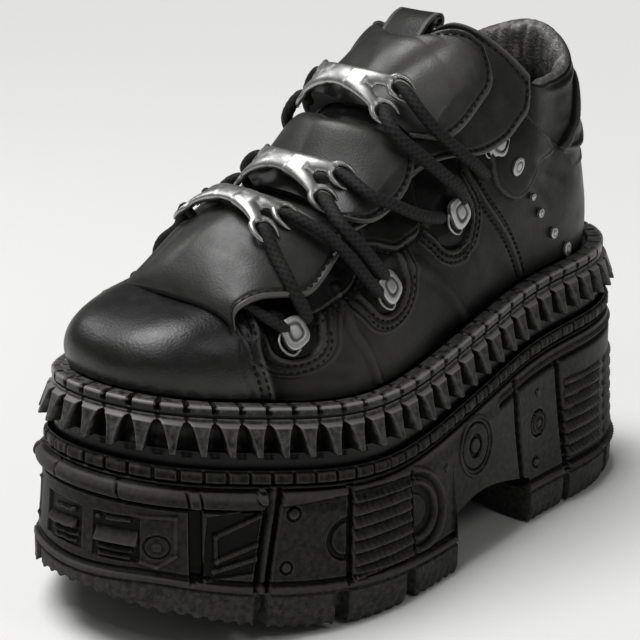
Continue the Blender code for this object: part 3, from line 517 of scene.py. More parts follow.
# Section of the welt's rim: distance outside the edge, depth below the top, painted light (0 painted shade in the
# grooves, 1 painted highlight on the lips).
WELT_PROFILE = np.array([
    (-9.4, 1.2, 0.4), (-6.4, 1.1, 0.3), (-6.0, -0.1, 0.5), (-5.6, -0.5, 0.55), (-2.0, -0.7, 0.5),
    (0.2, -0.75, 0.6), (0.65, -0.65, 1.0), (1.05, -0.25, 1.0), (1.15, 0.3, 0.5), (1.15, 1.5, 0.4),
    (1.0, 2.5, 0.45), (0.2, 2.9, 0.2), (-0.5, 3.2, 0.0), (-0.4, 3.7, 0.2), (0.5, 4.0, 0.75),
    (0.7, 4.5, 0.55), (0.4, 5.1, 0.3), (-0.4, 5.4, 0.1), (-3.0, 5.6, 0.0)])
NOTCH_HALF = 0.13       # half width of a notch, in pitches
NOTCH_DEPTH, NOTCH_CUT = 2.0, 3.0
NOTCH_PLACES = np.array([-0.5, -0.32, -0.15, -NOTCH_HALF, -0.06, 0.0, 0.06, NOTCH_HALF, 0.15, 0.32])


def build_welt(look):
    """Rim of the welt: a flat ledge with raised blocks, V notches between them, and a double bead below.

    A profile of distance outside the edge and depth below the welt's top is carried round the outline; in
    each notch the block's outer part sinks and draws back by a triangle wave of the place in the pitch.
    """
    outward, depth, light_and_groove_marks = (between(WELT_PROFILE)[:, k:k + 1] for k in range(3))
    notch = np.tile(np.clip(1.0 - np.abs(NOTCH_PLACES) / NOTCH_HALF, 0.0, 1.0), TOOTH_COUNT)[None, :]
    turns = tooth_turns(np.arange(TOOTH_COUNT)[:, None] + NOTCH_PLACES).ravel()
    block = np.clip((outward + 4.4) / 3.0, 0.0, 1.0) * np.clip((2.2 - depth) / 1.4, 0.0, 1.0)
    drawn = outward - block * notch * NOTCH_CUT * np.clip((outward + 3.0) / 3.0, 0.0, 1.0)
    height = height_of_edge(turns, 0.0)[None, :] - depth - block * notch * NOTCH_DEPTH
    # Painted shade in each notch, darkest where the block is cut away.
    painted_light_and_groove_dark = light_and_groove_marks * (1.0 - notch) + notch * (0.3 - 0.3 * block)
    points = ring_points(turns[None, :], drawn, height)
    return piece("welt_rim", [grid(points, wrap_columns=True)], look, "welt_rubber", ["welt"], angle=35, painted_light_and_groove_dark=painted_light_and_groove_dark)


# Columns over one tooth's pitch: inside the gap up to GAP_EDGE, its side wall up to FACE_EDGE, then the face.
GAP_EDGE, FACE_EDGE = 0.20, 0.24
TOOTH_PLACES = np.array([-0.5, -0.42, -0.34, -0.27, -0.24, -0.20, -0.13, -0.06, 0.0, 0.06, 0.13, 0.20, 0.24, 0.27,
                         0.34, 0.42])
TOOTH_WALL = 0.035      # width of a gap's side wall, in pitches
# Depths below the welt's top.
TOOTH_TOP, TOOTH_FOOT, COG_FOOT = 6.0, 16.8, 24.2


def build_cog_band(look):
    """Band of wedge teeth with pointed arches between them, over a smooth recess.

    The columns of the grid follow the arch: its half width is a power of the share of the way down, the gap's
    columns are spread over it, and the tooth's face, which leans out towards its foot, takes the others.
    """
    depth = np.concatenate([[4.7, 5.2, 5.5, 5.9, 6.3, 6.7, 7.0], np.linspace(7.5, 16.3, 19),
                            [16.6, 16.85, 17.1, 17.4], np.linspace(18.0, COG_FOOT, 9)])[:, None]
    column = np.tile(TOOTH_PLACES, TOOTH_COUNT)[None, :]
    away = np.abs(column)
    drop = np.clip((depth - 5.9) / 10.9, 0.0, 1.0)
    half_gap = 0.018 + 0.360 * drop ** 0.47
    over_face = half_gap + TOOTH_WALL + (away - FACE_EDGE) / (0.5 - FACE_EDGE) * (0.5 - half_gap - TOOTH_WALL)
    place = np.where(away <= GAP_EDGE, away / GAP_EDGE * half_gap, over_face)
    place = np.sign(column) * np.where((away > GAP_EDGE) & (away < FACE_EDGE), half_gap, place)
    turns = tooth_turns(np.repeat(np.arange(TOOTH_COUNT), len(TOOTH_PLACES))[None, :] + place)
    face = 2.6 + 4.1 * np.clip((depth - TOOTH_TOP) / 10.6, 0.0, 1.0) - 0.35 * (away < 0.25)
    face -= 2.0 * np.clip((6.7 - depth) / 1.3, 0.0, 1.0)
    way_down = np.clip((depth - TOOTH_TOP) / (TOOTH_FOOT - TOOTH_TOP), 0.0, 1.0)
    hollow = 0.6 - 3.2 * np.sin(np.pi * way_down) ** 0.6 - 0.8 * drop
    hollow = hollow + 0.5 * np.clip(1.0 - away / 0.10, 0.0, 1.0) * drop
    outward = np.where((away <= GAP_EDGE) & (depth >= TOOTH_TOP), hollow, face)
    recess = 0.6 + 1.1 * bump_at(depth - 18.6, 1.1) * bump_at(place, 0.3)
    outward = np.where(depth > 16.95, recess, outward)
    # Painted light: shade in the gaps between the teeth and in the recess below, highlights along the teeth's
    # edges and on their top bevel.
    painted_light_and_groove_dark = np.where(away <= GAP_EDGE, 0.0, 0.52 + 0.10 * (away < 0.28))
    painted_light_and_groove_dark = painted_light_and_groove_dark + 0.58 * bump_at(depth - 6.3, 0.8) * (away > 0.22)
    painted_light_and_groove_dark = np.where(depth > 16.7, 0.22 * (depth > 20.0), painted_light_and_groove_dark)
    points = ring_points(turns, outward, height_of_edge(turns, 3.0) - depth)
    return piece("cog_band", [grid(points, wrap_columns=True)], look, "midsole_rubber", ["cog_midsole"], angle=35,
                 painted_light_and_groove_dark=painted_light_and_groove_dark)


# Relief of the platform's side, by distance from the toe's tip (run) and height over the floor. Panels
# and blocks are (run from, run to, height from, height to, depth, lean of the ends per mm of height).
PANELS = ((-20.5, -1.5, 36.5, 53.0, -1.2, 0.0), (3.2, 20.0, 36.0, 53.0, -1.0, 0.0),
          (41.0, 61.5, 28.6, 52.5, -1.4, 0.10), (129.8, 131.8, 18.0, 52.0, -1.6, 0.0),
          (96.2, 99.0, 17.0, 56.0, -2.6, 0.05), (35.7, 40.4, 28.0, 55.5, -2.6, 0.0))
# Louvres: fins that lean out downwards, (run from, run to, top, bottom, rise, fall of the lines per mm run).
LOUVRES = ((-16.0, -5.5, 50.2, 48.4, 1.6, -0.12), (-19.0, -4.0, 46.2, 42.4, 3.2, -0.10),
           (-16.5, -3.0, 41.4, 39.4, 1.8, -0.10), (-15.5, -3.5, 38.8, 37.0, 1.5, -0.10),
           (8.0, 17.0, 52.4, 50.6, 1.6, 0.0), (4.5, 19.5, 48.2, 43.0, 3.6, 0.03),
           (5.0, 17.5, 41.8, 39.6, 2.0, 0.03), (5.5, 17.0, 38.9, 36.9, 1.6, 0.03))
# Strokes: (run, height) to (run, height), half width, rise. Negative rise is a groove.
STROKES = ((45.0, 44.5, 61.5, 50.0, 0.9, 1.4), (45.0, 44.5, 45.0, 35.0, 0.8, 1.2),
           (45.0, 35.0, 60.0, 39.0, 0.9, 1.4), (44.0, 31.2, 60.0, 33.8, 0.9, 1.4),
           (19.4, 53.6, 31.5, 53.2, 0.6, 0.6), (31.6, 53.0, 31.3, 38.6, 0.6, 0.5),
           (31.3, 38.6, 25.6, 34.5, 0.6, 0.6), (25.6, 34.5, 19.2, 36.6, 0.6, 0.6))
# Round features: (run, height, radius, rise, kind); a ring is a bead of that radius, a disc a raised spot.
ROUNDS = ((-5.5, 50.5, 0.9, 1.3, "disc"), (5.0, 51.0, 0.9, 1.3, "disc"), (25.5, 42.0, 4.2, -0.6, "ring"),
          (25.5, 42.0, 1.6, 0.5, "disc"), (62.5, 58.2, 2.4, 2.0, "disc"), (75.0, 49.0, 2.6, -0.8, "ring"),
          (75.0, 49.0, 1.8, 0.7, "disc"), (71.5, 28.5, 2.3, -0.7, "ring"), (71.5, 28.5, 1.5, 0.6, "disc"),
          (154.5, 45.8, 1.3, 0.9, "disc"), (153.0, 33.0, 1.2, 0.8, "disc"),
          (177.0, 48.0, 12.0, 0.8, "ring"), (177.0, 48.0, 9.6, -0.9, "ring"), (177.0, 48.0, 5.0, -1.2, "disc"),
          (177.0, 48.0, 3.0, 1.3, "disc"), (228.0, 42.5, 5.6, -1.0, "ring"), (228.0, 42.5, 3.6, 0.9, "ring"),
          (228.0, 42.5, 1.6, 0.8, "disc"), (225.5, 25.8, 2.3, -0.7, "ring"), (225.5, 25.8, 1.6, 0.8, "disc"),
          (227.0, 56.5, 1.3, 0.8, "disc"))
# Cooling fins: (run from, run to, height from, height to, count, fall of the lines per mm run, rise).
FINS = ((99.4, 129.4, 17.5, 55.2, 7.5, 0.075, 1.7), (248.5, 279.0, 14.5, 56.0, 7.5, 0.0, 1.9),
        (284.0, 312.0, 14.5, 56.0, 7.5, 0.0, 1.9))
# Beads and fields of the oval behind the fins, by share of its size: (share, half width, rise).
OVAL_BEADS = ((1.0, 0.09, 1.2), (0.86, 0.07, -1.0), (0.70, 0.07, 0.9))
# Upright grooves of the heel: (run at the top, run at the foot).
HEEL_GROOVES = ((209.0, 213.3), (243.0, 249.3))
ROLL_CUTS = (-40.0, -35.6, -13.0, 13.0, 35.6, 40.0)


def band_relief(signed, depth):
    """Segment band: tiles with thin joints, and two grooves with a fine bead between them below."""
    pitch = 8.6
    tile = (signed - 58.5) / pitch
    joint = np.abs(tile - np.round(tile)) * pitch
    uneven = 0.20 * np.sin(signed * 1.3 + 2.0 * np.sin(signed * 0.37))
    rise = within(depth, 24.4, 28.3, 0.25) * (1.3 - 1.9 * (1 - step_up(joint - 0.65, 0.3)) + uneven)
    rise -= 1.3 * (bump_at(depth - 28.8, 0.6) + bump_at(depth - 30.7, 0.7))
    return rise + 0.5 * bump_at(depth - 29.7, 0.6)


def roll_relief(run, signed, depth):
    """Roll round the toe, in lengths, with a clamp; it thins out behind the clamp into a plain bead."""
    fade = np.clip((run - 62.0) / 30.0, 0.0, 1.0)
    middle = 34.2 - 1.6 * fade
    radius = 3.5 - 2.1 * fade
    roll = np.sqrt(np.clip(1.0 - ((depth - middle) / radius) ** 2, 0.0, 1.0)) * (3.1 - 2.0 * fade)
    roll *= step_up(98.0 - run, 0.8)
    for place in ROLL_CUTS:
        roll -= 1.5 * bump_at(signed - place - 0.18 * (depth - 34.5), 0.8) * (roll > 0.4)
    clamp = 0.9 * within(run, 36.0, 39.6) * within(depth, 31.0, 38.4)
    rear_edge = within(run, 196.0, 330.0, 1.0)
    return (roll + clamp - 1.6 * bump_at(depth - (middle + radius + 0.8), 1.2) * step_up(64.0 - run, 1.0)
            + rear_edge * (0.9 * bump_at(depth - 34.6, 1.3) - 1.3 * bump_at(depth - 37.2, 1.6)))


def panel_relief(signed, height):
    """Panels, louvres and cooling fins, each a window of smooth steps in run and height."""
    rise = 0.0
    for low, high, foot, top, amount, lean in PANELS:
        shift = lean * (height - (foot + top) / 2)
        rise = rise + amount * within(signed - shift, low, high) * within(height, foot, top)
    for low, high, top, foot, amount, fall in LOUVRES:
        level = height + fall * (signed - low)
        share = np.clip((top - level) / (top - foot), 0.0, 1.0)
        rise = rise + amount * share * within(signed, low, high, 0.3) * step_up(level - foot, 0.22)
    for low, high, foot, top, count, fall, amount in FINS:
        slope = fall * (signed - low) * np.clip((height - foot) / (top - foot), 0, 1)
        level = (height + slope - foot) / (top - foot)
        wave = np.mod(level * count, 1.0)
        fin = np.clip((1.0 - wave) / 0.72, 0.0, 1.0) * step_up(wave - 0.09, 0.09)
        grain = 0.16 * np.sin(signed * 2.2 + 0.8 * height)
        rise = rise + within(signed, low, high) * within(level, 0.0, 1.0, 0.01) * ((amount + grain) * fin - 0.7)
    return rise


def round_relief(signed, height):
    """Oval of beads at the rear of the forefoot block, and the half circle in front of the second groove."""
    start = 131.5
    across = (signed - start) / 20.5
    upward = (height - 35.5 + 0.20 * (signed - start)) / 16.8
    oval = np.hypot(np.clip(across, 0, None), upward)
    field = sum(rise * bump_at(oval - share, half) for share, half, rise in OVAL_BEADS)
    field = field - 1.3 * step_up(0.62 - oval, 0.03) + 0.9 * step_up(0.40 - oval, 0.03)
    middle = 96.4
    far = np.hypot(signed - middle, height - 35.0)
    half_circle = -1.5 * step_up(8.6 - far, 0.4) + 1.2 * step_up(6.3 - far, 0.5)
    return step_up(signed - 131.2, 0.4) * field + step_up(middle - signed, 0.5) * half_circle


def platform_relief(turn, height, depth):
    """Rise of the platform's face over its plain profile: the sum of the tabled features.

    Every feature is a product of smooth steps in run and height (panels, louvres), a smooth step of the
    distance to a stroke, or of the distance to a circle; the band and the roll follow the depth instead.
    """
    run, signed = (place + 0 * height for place in run_from_toe(turn))
    rise = band_relief(signed, depth) + roll_relief(run, signed, depth)
    rise += panel_relief(signed, height) + round_relief(signed, height)
    # Long leaning groove with a pipe in it, ended by a bolt above.
    trough = signed - 61.3 - (height - 22.5) * 0.175
    cut = within(height, 19.0, 59.5 + 0.8 * bump_at(trough, 3.0), 0.8)
    rise *= 1.0 - cut * step_up(3.6 - np.abs(trough), 0.4)
    rise += cut * (-2.6 * step_up(3.2 - np.abs(trough), 0.7) + 2.9 * bump_at(trough, 2.6))
    for x0, z0, x1, z1, half, amount in STROKES:
        near = (signed > min(x0, x1) - 3) & (signed < max(x0, x1) + 3)
        gap = np.full_like(signed, FAR)
        gap[near] = distance_to_line(np.stack([signed[near], height[near]], -1), np.array([(x0, z0), (x1, z1)]))[0]
        rise += amount * step_up(half - gap, 0.45)
    for x, z, radius, amount, kind in ROUNDS:
        far = np.hypot(signed - x, height - z)
        rise += amount * (step_up(radius - far, 0.3) if kind == "disc" else bump_at(far - radius, 0.75))
    for top_run, foot_run in HEEL_GROOVES:
        centre = top_run + (foot_run - top_run) * (62.0 - height) / 42.0
        rise -= 2.8 * step_up(2.2 - np.abs(signed - centre), 0.6) * step_up(66.5 - height, 0.5) * (signed > 150)
    return rise


SIDE_ROWS = 84
# Depths below the welt's top: where the platform's side starts, and where its band and roll end.
SIDE_TOP, BAND_FOOT = 23.2, 39.2


def platform_face(turns):
    """Points of the platform's side and of its cap underneath, for turns in order.

    Rows run from the band down to the ledge, then inwards underneath to the middle line; the distance
    outside the welt's edge is a plain profile in height plus the relief.
    """
    turns = turns[None, :]
    y = outline(turns, np.full(turns.shape, SIDE_OUT))[..., 1]
    edge = height_of_edge(turns, 6.0)
    in_arch = (y > ARCH_FRONT) & (y < ARCH_REAR)
    foot = np.where(in_arch, arch_height(y), ledge_height(y))
    band = SIDE_TOP + (BAND_FOOT - SIDE_TOP) * np.linspace(0.0, 1.0, int(SIDE_ROWS * 0.32))[:, None]
    low = BAND_FOOT + (edge - foot - BAND_FOOT) * np.linspace(0.0, 1.0, int(SIDE_ROWS * 0.68))[1:, None]
    depth = np.concatenate([band + 0 * turns, low])
    height = edge - depth
    above = (height - foot) / np.maximum(edge - BAND_FOOT - foot, 1.0)
    plain = np.interp(depth, [SIDE_TOP, 28.6, 31.0, 34.0, BAND_FOOT], [3.2, 3.4, 4.4, 5.0, 5.6])
    flare = 5.6 + 2.6 * np.clip(1.0 - above, 0.0, 1.0) ** 1.6
    plain = np.where(depth > BAND_FOOT, flare, plain)
    ledge = 1.3 * step_up(1.7 - (height - foot), 0.3) - 0.9 * bump_at(height - foot - 3.2, 1.2)
    outward = plain + platform_relief(turns, height, depth) + np.where(in_arch, 0.0, ledge)
    wall = ring_points(turns, outward, height)
    # Painted light: highlights on the relief's edges and raised parts, shade in its corners, sunk parts and the
    # groove under the band, and shade on the cap underneath.
    painted_light_and_groove_dark = edge_wear(outward, 1.2) + 0.14 * np.clip(outward - flare + 0.4, -2.4, 1.5) * (depth > 39.5)
    painted_light_and_groove_dark += 0.22 * bump_at(depth - 32.6, 2.2) - 0.45 * bump_at(depth - 28.8, 0.8)
    painted_light_and_groove_dark = np.pad(np.clip(painted_light_and_groove_dark, 0.0, 1.0), ((0, 6), (0, 0)), constant_values=0.3)
    inner = np.stack([0 * y - 1.0, np.clip(y, -108.0, 96.0), foot], axis=-1)
    t = np.linspace(0.0, 1.0, 7)[1:, None, None]
    return np.concatenate([wall, wall[-1:] * (1 - t) + inner * t]), painted_light_and_groove_dark


def build_platform(look):
    """Tall body of the sole, in a front and a rear part that meet under the arch."""
    for name, front, step_y, counts, stands_for in (("platform_front", True, ARCH_FRONT, (500, 300), ["platform"]),
                                                    ("platform_rear", False, ARCH_REAR, (270, 220), [])):
        # Two columns stand close on each side of the step where the arch begins.
        close = np.array([turns_at(step_y + gap) for gap in (-0.25, 0.25)])
        close[:, 1] -= float(front)
        turns = np.sort(np.concatenate([block_turns(18.0, front, *counts), close.ravel()]))
        points, painted_light_and_groove_dark = platform_face(np.mod(turns, 1.0))
        piece(name, [grid(points)], look, "platform_rubber", stands_for, angle=38, painted_light_and_groove_dark=painted_light_and_groove_dark)


# Gaps between lugs by distance from the toe's tip: (run from, run to); heel likewise.
LUG_GAPS = ((58.2, 62.6), (90.4, 95.2), (124.4, 129.4), (-26.0, -22.5), (246.6, 250.8), (281.5, 286.0),
            (216.0, 219.0))
BAR_GROOVES = (-112.0, -79.0, -46.0, 68.0, 100.0)   # y of the grooves across the tread


def lug_bottom(x, y, base):
    """Height of the tread's underside: slanted bars across the boot with grooves between them."""
    forward = y + 0.10 * x
    cut = within(x + 2.0, -2.4, 2.4, 0.5) * (np.abs(y) < 125)
    for centre in BAR_GROOVES:
        cut = np.maximum(cut, within(forward - centre, -2.4, 2.4, 0.5))
    fine = 0.5 + 0.5 * np.cos(2 * np.pi * forward / 8.2)
    return base + 7.0 * cut + 1.5 * step_up(fine - 0.72, 0.12) * (1 - cut)


def build_tread(name, node, front, look):
    """Lugs under one block: an outer wall with upright gaps, stepped foot edges, and a grooved underside.

    A closed ring of plan points (the outline's part in this block and a straight face across the arch) is
    carried down the wall and then inwards underneath, where the height is the lug pattern.
    """
    plane_y = ARCH_FRONT - 0.2 if front else ARCH_REAR + 0.2
    turns = np.mod(block_turns(plane_y, front, *((330, 200) if front else (190, 130))), 1.0)
    run, signed = run_from_toe(turns)
    y = outline(turns, np.full(turns.shape, SIDE_OUT + 0.5))[:, 1]
    gap = np.max([within(signed, low, high, 0.5) for low, high in LUG_GAPS], axis=0)
    saw = np.mod(signed, 5.2) / 5.2
    steps = 0.9 * step_up(saw - 0.5, 0.12) + 0.5 * np.abs(np.mod(signed * 0.37, 1.0) - 0.5)
    toe_flare = step_up(46.0 - run, 6.0)
    bottom = toe_rise(y) + 1.2 * steps * (1.0 - gap) + 7.5 * gap - 1.2 * toe_flare * (signed < TOE_PATTERN)
    top = ledge_height(y) - 0.2
    height = top + (bottom - top) * np.linspace(0.0, 1.0, 18)[:, None]
    below = top - height
    outward = 9.3 - 0.9 * step_up(1.1 - below, 0.4) - 2.6 * np.clip((below - 8.0) / 8.0, 0.0, 1.0) ** 2
    outward -= 4.5 * gap * step_up(below - 1.6, 0.4)
    outward += 0.25 * np.sin(signed * 1.2) * step_up(below - 9.0, 1.0)
    wall = ring_points(turns, outward, height)
    # Straight face across the boot, from the medial end of the wall back to its lateral end or the reverse.
    count = 60
    t = np.linspace(0.0, 1.0, count + 2)[1:-1][None, :, None]
    face = wall[:, -1:, :] * (1 - t) + wall[:, :1, :] * t
    face[..., 1] = plane_y
    face[-1, :, 2] = lug_bottom(face[-1, :, 0], np.full(count, plane_y), 0.6)
    ring = np.concatenate([wall, face], axis=1)
    rim = ring[-1]
    middle_y = np.clip(rim[:, 1], *((-104.0, -12.5) if front else (48.5, 96.0)))
    inner = np.stack([np.full(len(rim), -2.0), middle_y, rim[:, 2]], axis=-1)
    u = np.linspace(0.0, 1.0, 34)[1:, None, None]
    under = rim[None] * (1 - u) + inner[None] * u
    sunk = lug_bottom(under[..., 0], under[..., 1], toe_rise(under[..., 1]) + 1.0)
    near = np.clip(u[..., 0] / 0.06, 0.0, 1.0)
    under[..., 2] = under[..., 2] * (1 - near) + sunk * near
    lid_inner = np.stack([inner[:, 0], inner[:, 1], ring[0, :, 2]], axis=-1)
    lid = np.stack([ring[0] * 0.7 + 0.3 * lid_inner, ring[0]])
    parts = [grid(np.concatenate([ring, under]), wrap_columns=True), grid(lid, wrap_columns=True)]
    return piece(name, parts, look, "tread_rubber", [node], angle=38)


# --- Leather upper ----------------------------------------------------------------------------------
# Lines on the upper as (station, share) on the lateral side; the medial side mirrors them.
CAP_EDGE = ((3.22, 0.60), (3.20, 0.465), (3.13, 0.315), (3.18, 0.155), (3.26, 0.0))
VAMP_SEAM = ((4.80, 0.47), (4.88, 0.355), (4.91, 0.29), (5.05, 0.21), (5.19, 0.115), (5.30, 0.0))
LOW_RIDGE = ((5.60, 0.43), (5.88, 0.405), (6.34, 0.32), (6.88, 0.205), (7.30, 0.105), (7.66, 0.0))
QUARTER_SEAM = ((7.70, 0.46), (7.88, 0.40), (8.23, 0.325), (8.74, 0.24), (9.20, 0.10), (9.40, 0.0))
STRAP_SEAM = ((8.90, 0.82), (9.39, 0.775), (9.85, 0.72), (10.19, 0.67), (10.58, 0.59), (10.85, 0.53))
# Roll of padding round the back, below the collar: its outline from the back's middle and round again.
HEEL_ROLL = ((13.05, 0.90), (12.2, 0.905), (11.35, 0.90), (11.08, 0.82), (10.79, 0.745), (10.5, 0.695),
             (10.25, 0.655), (10.7, 0.61), (11.6, 0.585), (12.4, 0.575), (13.05, 0.57))
LOBE_ONE = ((4.10, 0.455), (4.18, 0.435), (4.50, 0.43), (4.81, 0.435), (5.05, 0.44), (5.25, 0.47))
LOBE_TWO = ((5.45, 0.52), (5.61, 0.495), (5.93, 0.425), (6.24, 0.405), (6.52, 0.40), (6.60, 0.44))
TAB = ((8.20, 0.62), (8.26, 0.50), (8.34, 0.415), (8.58, 0.378), (8.91, 0.372), (9.16, 0.40), (9.31, 0.44),
       (9.40, 0.49), (9.48, 0.56), (9.72, 0.62), (10.02, 0.655), (9.85, 0.715), (9.39, 0.775), (8.85, 0.82))
# Seams that stand proud: line, height, half width.
SEAMS = ((VAMP_SEAM, 1.3, 3.2), (LOW_RIDGE, 1.0, 4.5), (QUARTER_SEAM, 0.9, 1.6), (STRAP_SEAM, 0.5, 0.9))
# Pockets round the tags: middle station and share, half lengths in mm along and up, turn in degrees.
POCKETS = ((3.78, 0.335, 10.8, 6.8, -6.0), (5.70, 0.325, 11.0, 8.4, 8.0), (7.34, 0.335, 12.0, 12.5, 18.0))
# Creases of wear: station and share at each end, depth.
CREASES = ((6.9, 0.30, 8.0, 0.16, 0.5), (9.3, 0.62, 10.6, 0.44, 0.6), (9.2, 0.50, 10.2, 0.30, 0.4),
           (5.0, 0.42, 5.9, 0.20, 0.35), (10.2, 0.75, 11.4, 0.62, 0.5), (3.7, 0.16, 4.8, 0.10, 0.3))
HEEL_FOLDS = (0.50, 0.66, 0.78)     # shares of the folds across the back
CAP_STITCHES = (1.9, 4.6)           # distances of the two rows of thread from the toe cap's edge
STATION_MM = 13.5                   # a station's length at the toe cap
SHARE_MM = 105.0                    # the wall's height at the facings


def on_side(points, side, count=90):
    """A line of the lateral side carried to a side, as dense stations and shares."""
    places = smooth_line(points, count)
    return mirrored(places[:, 0], side), places[:, 1]


def local_frame(station, share, side, turn_deg):
    """Middle of a place on a side, with the directions along, up and out, turned about the way out."""
    station = float(mirrored(station, side))
    along = unit(on_upper(station + 0.05, share, 0.0) - on_upper(station - 0.05, share, 0.0))
    up = on_upper(station, share + 0.01, 0.0) - on_upper(station, share - 0.01, 0.0)
    up = unit(up - (up @ along) * along)
    out = unit(np.cross(along, up))
    c, s = math.cos(math.radians(turn_deg)), math.sin(math.radians(turn_deg))
    return on_upper(station, share, 0.0), c * side * along + s * up, c * up - s * side * along, out


def pocket_shape(points, side, row):
    """Distance in millimetres outside (positive) or inside a pocket's U outline, and height in it."""
    station, share, half_along, half_up, turn_deg = row
    middle, along, up, _ = local_frame(station, share, side, turn_deg)
    a, b = (points - middle) @ along, (points - middle) @ up
    across = np.abs(a) / (half_along + 0.15 * np.clip(b, 0.0, None))
    away = (np.hypot(across, np.clip(-b, 0.0, None) / half_up) - 1.0) * min(half_along, half_up)
    near = np.linalg.norm(points - middle, axis=-1) < 45.0
    return np.where(near, away, 30.0), b


class Skin:
    """Grid of the upper's outer face, with the lift and the painted light and shade that its layers add to it."""

    def __init__(self):
        turns = np.concatenate([np.linspace(0.0, 0.5, 400), np.linspace(0.5, 1.0, 241)[1:-1]])
        self.rows = np.linspace(0.0, 1.0, 104)[:, None]
        self.share = self.rows * lip_at(turns)[None, :]
        self.turn = np.broadcast_to(turns, self.share.shape)
        self.station = station_of(self.turn)
        self.base = wall_point(self.turn, self.share)
        self.side = np.where(self.station < STATIONS / 2, 1.0, -1.0)
        self.half = np.minimum(self.station, STATIONS - self.station)
        self.lift = 0.35 * soft_noise(self.base, 17.0, 3) + 0.10 * soft_noise(self.base, 6.0, 8)
        self.light = np.zeros_like(self.lift)

    def gap_to(self, near, stations, shares):
        """Distance to a line on the upper, where near is true, and the share of the line's length."""
        gap, along = np.full(near.shape, FAR), np.zeros(near.shape)
        gap[near], along[near] = distance_to_line(self.base[near], on_upper(stations, shares, 0.0))
        return gap, along

    def depth_in(self, near, outline_points, side, count):
        """Distance inside a closed outline of the lateral side carried to a side, negative outside it."""
        gap, _ = self.gap_to(near, *on_side(outline_points, side, count))
        held = inside(np.stack([self.half, self.share], -1), smooth_line(outline_points, count)) & near
        return np.where(held, gap, -gap)

    def edge(self, away, there=1.0):
        """Painted light along a cut edge: a painted highlight on the edge itself, painted shade in the corner
        outside it.
        """
        self.light += there * (0.45 * bump_at(away - 0.3, 0.9) - 0.5 * bump_at(away + 1.0, 1.0))


def add_cap(skin):
    """Toe cap, which lies over the vamp, with two channels for its thread; returns the depth behind its edge."""
    edge = smooth_line(CAP_EDGE, 60)
    away = (np.interp(skin.share, edge[::-1, 1], edge[::-1, 0]) - skin.half) * STATION_MM
    skin.lift += 1.6 * step_up(away, 0.4)
    for offset in CAP_STITCHES:
        skin.lift -= 0.5 * bump_at(away - offset, 1.0)
    # Painted highlight on the cap's edge, painted shade in the corner below it.
    skin.edge(away)
    return away


def add_facings(skin):
    """Facings: each lies over the vamp above its lobed lower edge."""
    for line in (LOBE_ONE, LOBE_TWO):
        edge = smooth_line(line, 60)
        above = (skin.share - np.interp(skin.half, edge[:, 0], edge[:, 1])) * SHARE_MM
        there = within(skin.half, edge[0, 0], edge[-1, 0], 0.06)
        skin.lift += there * (1.5 * step_up(above, 0.5) - 0.35 * bump_at(above - 1.8, 0.8))
        # Painted highlight on each facing's edge, painted shade in the corner below it.
        skin.edge(above, there)


def add_seams(skin, sign):
    """Ridges along the seams; the quarter's has a thread channel on each side."""
    for line, height, width in SEAMS:
        stations, shares = on_side(line, sign)
        near = (skin.station > stations.min() - 1.5) & (skin.station < stations.max() + 1.5)
        gap, _ = skin.gap_to(near, stations, shares)
        skin.lift += height * bump_at(gap, width)
        if line is QUARTER_SEAM:
            skin.lift -= 0.45 * bump_at(gap - 2.6, 1.0)


def add_pockets(skin, sign):
    """Pockets: sunk inside a rolled rim, with two stitched channels outside it."""
    for row in POCKETS:
        away, up = pocket_shape(skin.base, sign, row)
        there = (skin.side == sign) & (away < 20)
        there = there * step_up(9.0 - up, 3.0)
        skin.lift += there * (1.1 * bump_at(away - 0.5, 1.1) - 0.9 * step_up(-away - 0.3, 0.6)
                              - 0.5 * bump_at(away - 2.3, 0.9) - 0.5 * bump_at(away - 4.9, 0.9)
                              + 0.7 * within(away, 0.9, 6.2, 0.5))
        # Painted highlight on the pocket's rolled rim, painted shade inside it.
        skin.light += there * (0.4 * bump_at(away - 0.6, 0.9) - 0.10 * step_up(-away - 0.2, 0.4))


def add_overlays(skin, sign):
    """Tab under the wing, and the padded roll round the back with a full front edge."""
    near = (skin.side == sign) & (skin.half > 7.6) & (skin.half < 10.7)
    depth = skin.depth_in(near, TAB, sign, 80)
    skin.lift += 1.7 * step_up(depth, 0.5) * near - 0.3 * bump_at(depth - 2.2, 0.8)
    # Painted highlight on the tab's edge, painted shade in the corner outside it.
    skin.light += near * (0.35 * bump_at(depth - 0.3, 0.9) - 0.4 * bump_at(depth + 0.9, 0.9))
    near = (skin.side == sign) & (skin.half > 9.6)
    depth = skin.depth_in(near, HEEL_ROLL, sign, 120)
    front = step_up(11.6 - skin.half, 0.5)
    skin.lift += near * (1.9 * step_up(depth, 1.1) + 1.1 * bump_at(depth - 1.6, 2.0) * front)
    # Painted highlight on the roll's full front edge, painted shade in the corner outside it.
    skin.light += near * (0.25 * bump_at(depth - 1.2, 1.6) * front - 0.4 * bump_at(depth + 1.0, 1.0))


def add_creases(skin, sign):
    """Creases across the quarters and behind the ankle: a trough with a soft ridge beside it."""
    for s0, v0, s1, v1, deep in CREASES:
        stations, shares = on_side(((s0, v0), ((s0 + s1) / 2, (v0 + v1) / 2 + 0.02), (s1, v1)), sign)
        near = (skin.station > stations.min() - 1) & (skin.station < stations.max() + 1)
        gap, along = skin.gap_to(near, stations, shares)
        fade = np.sin(np.pi * np.clip(along, 0, 1)) ** 0.7
        skin.lift += deep * fade * (0.6 * np.exp(-((gap - 4.0) / 2.4) ** 2) - np.exp(-(gap / 2.4) ** 2))


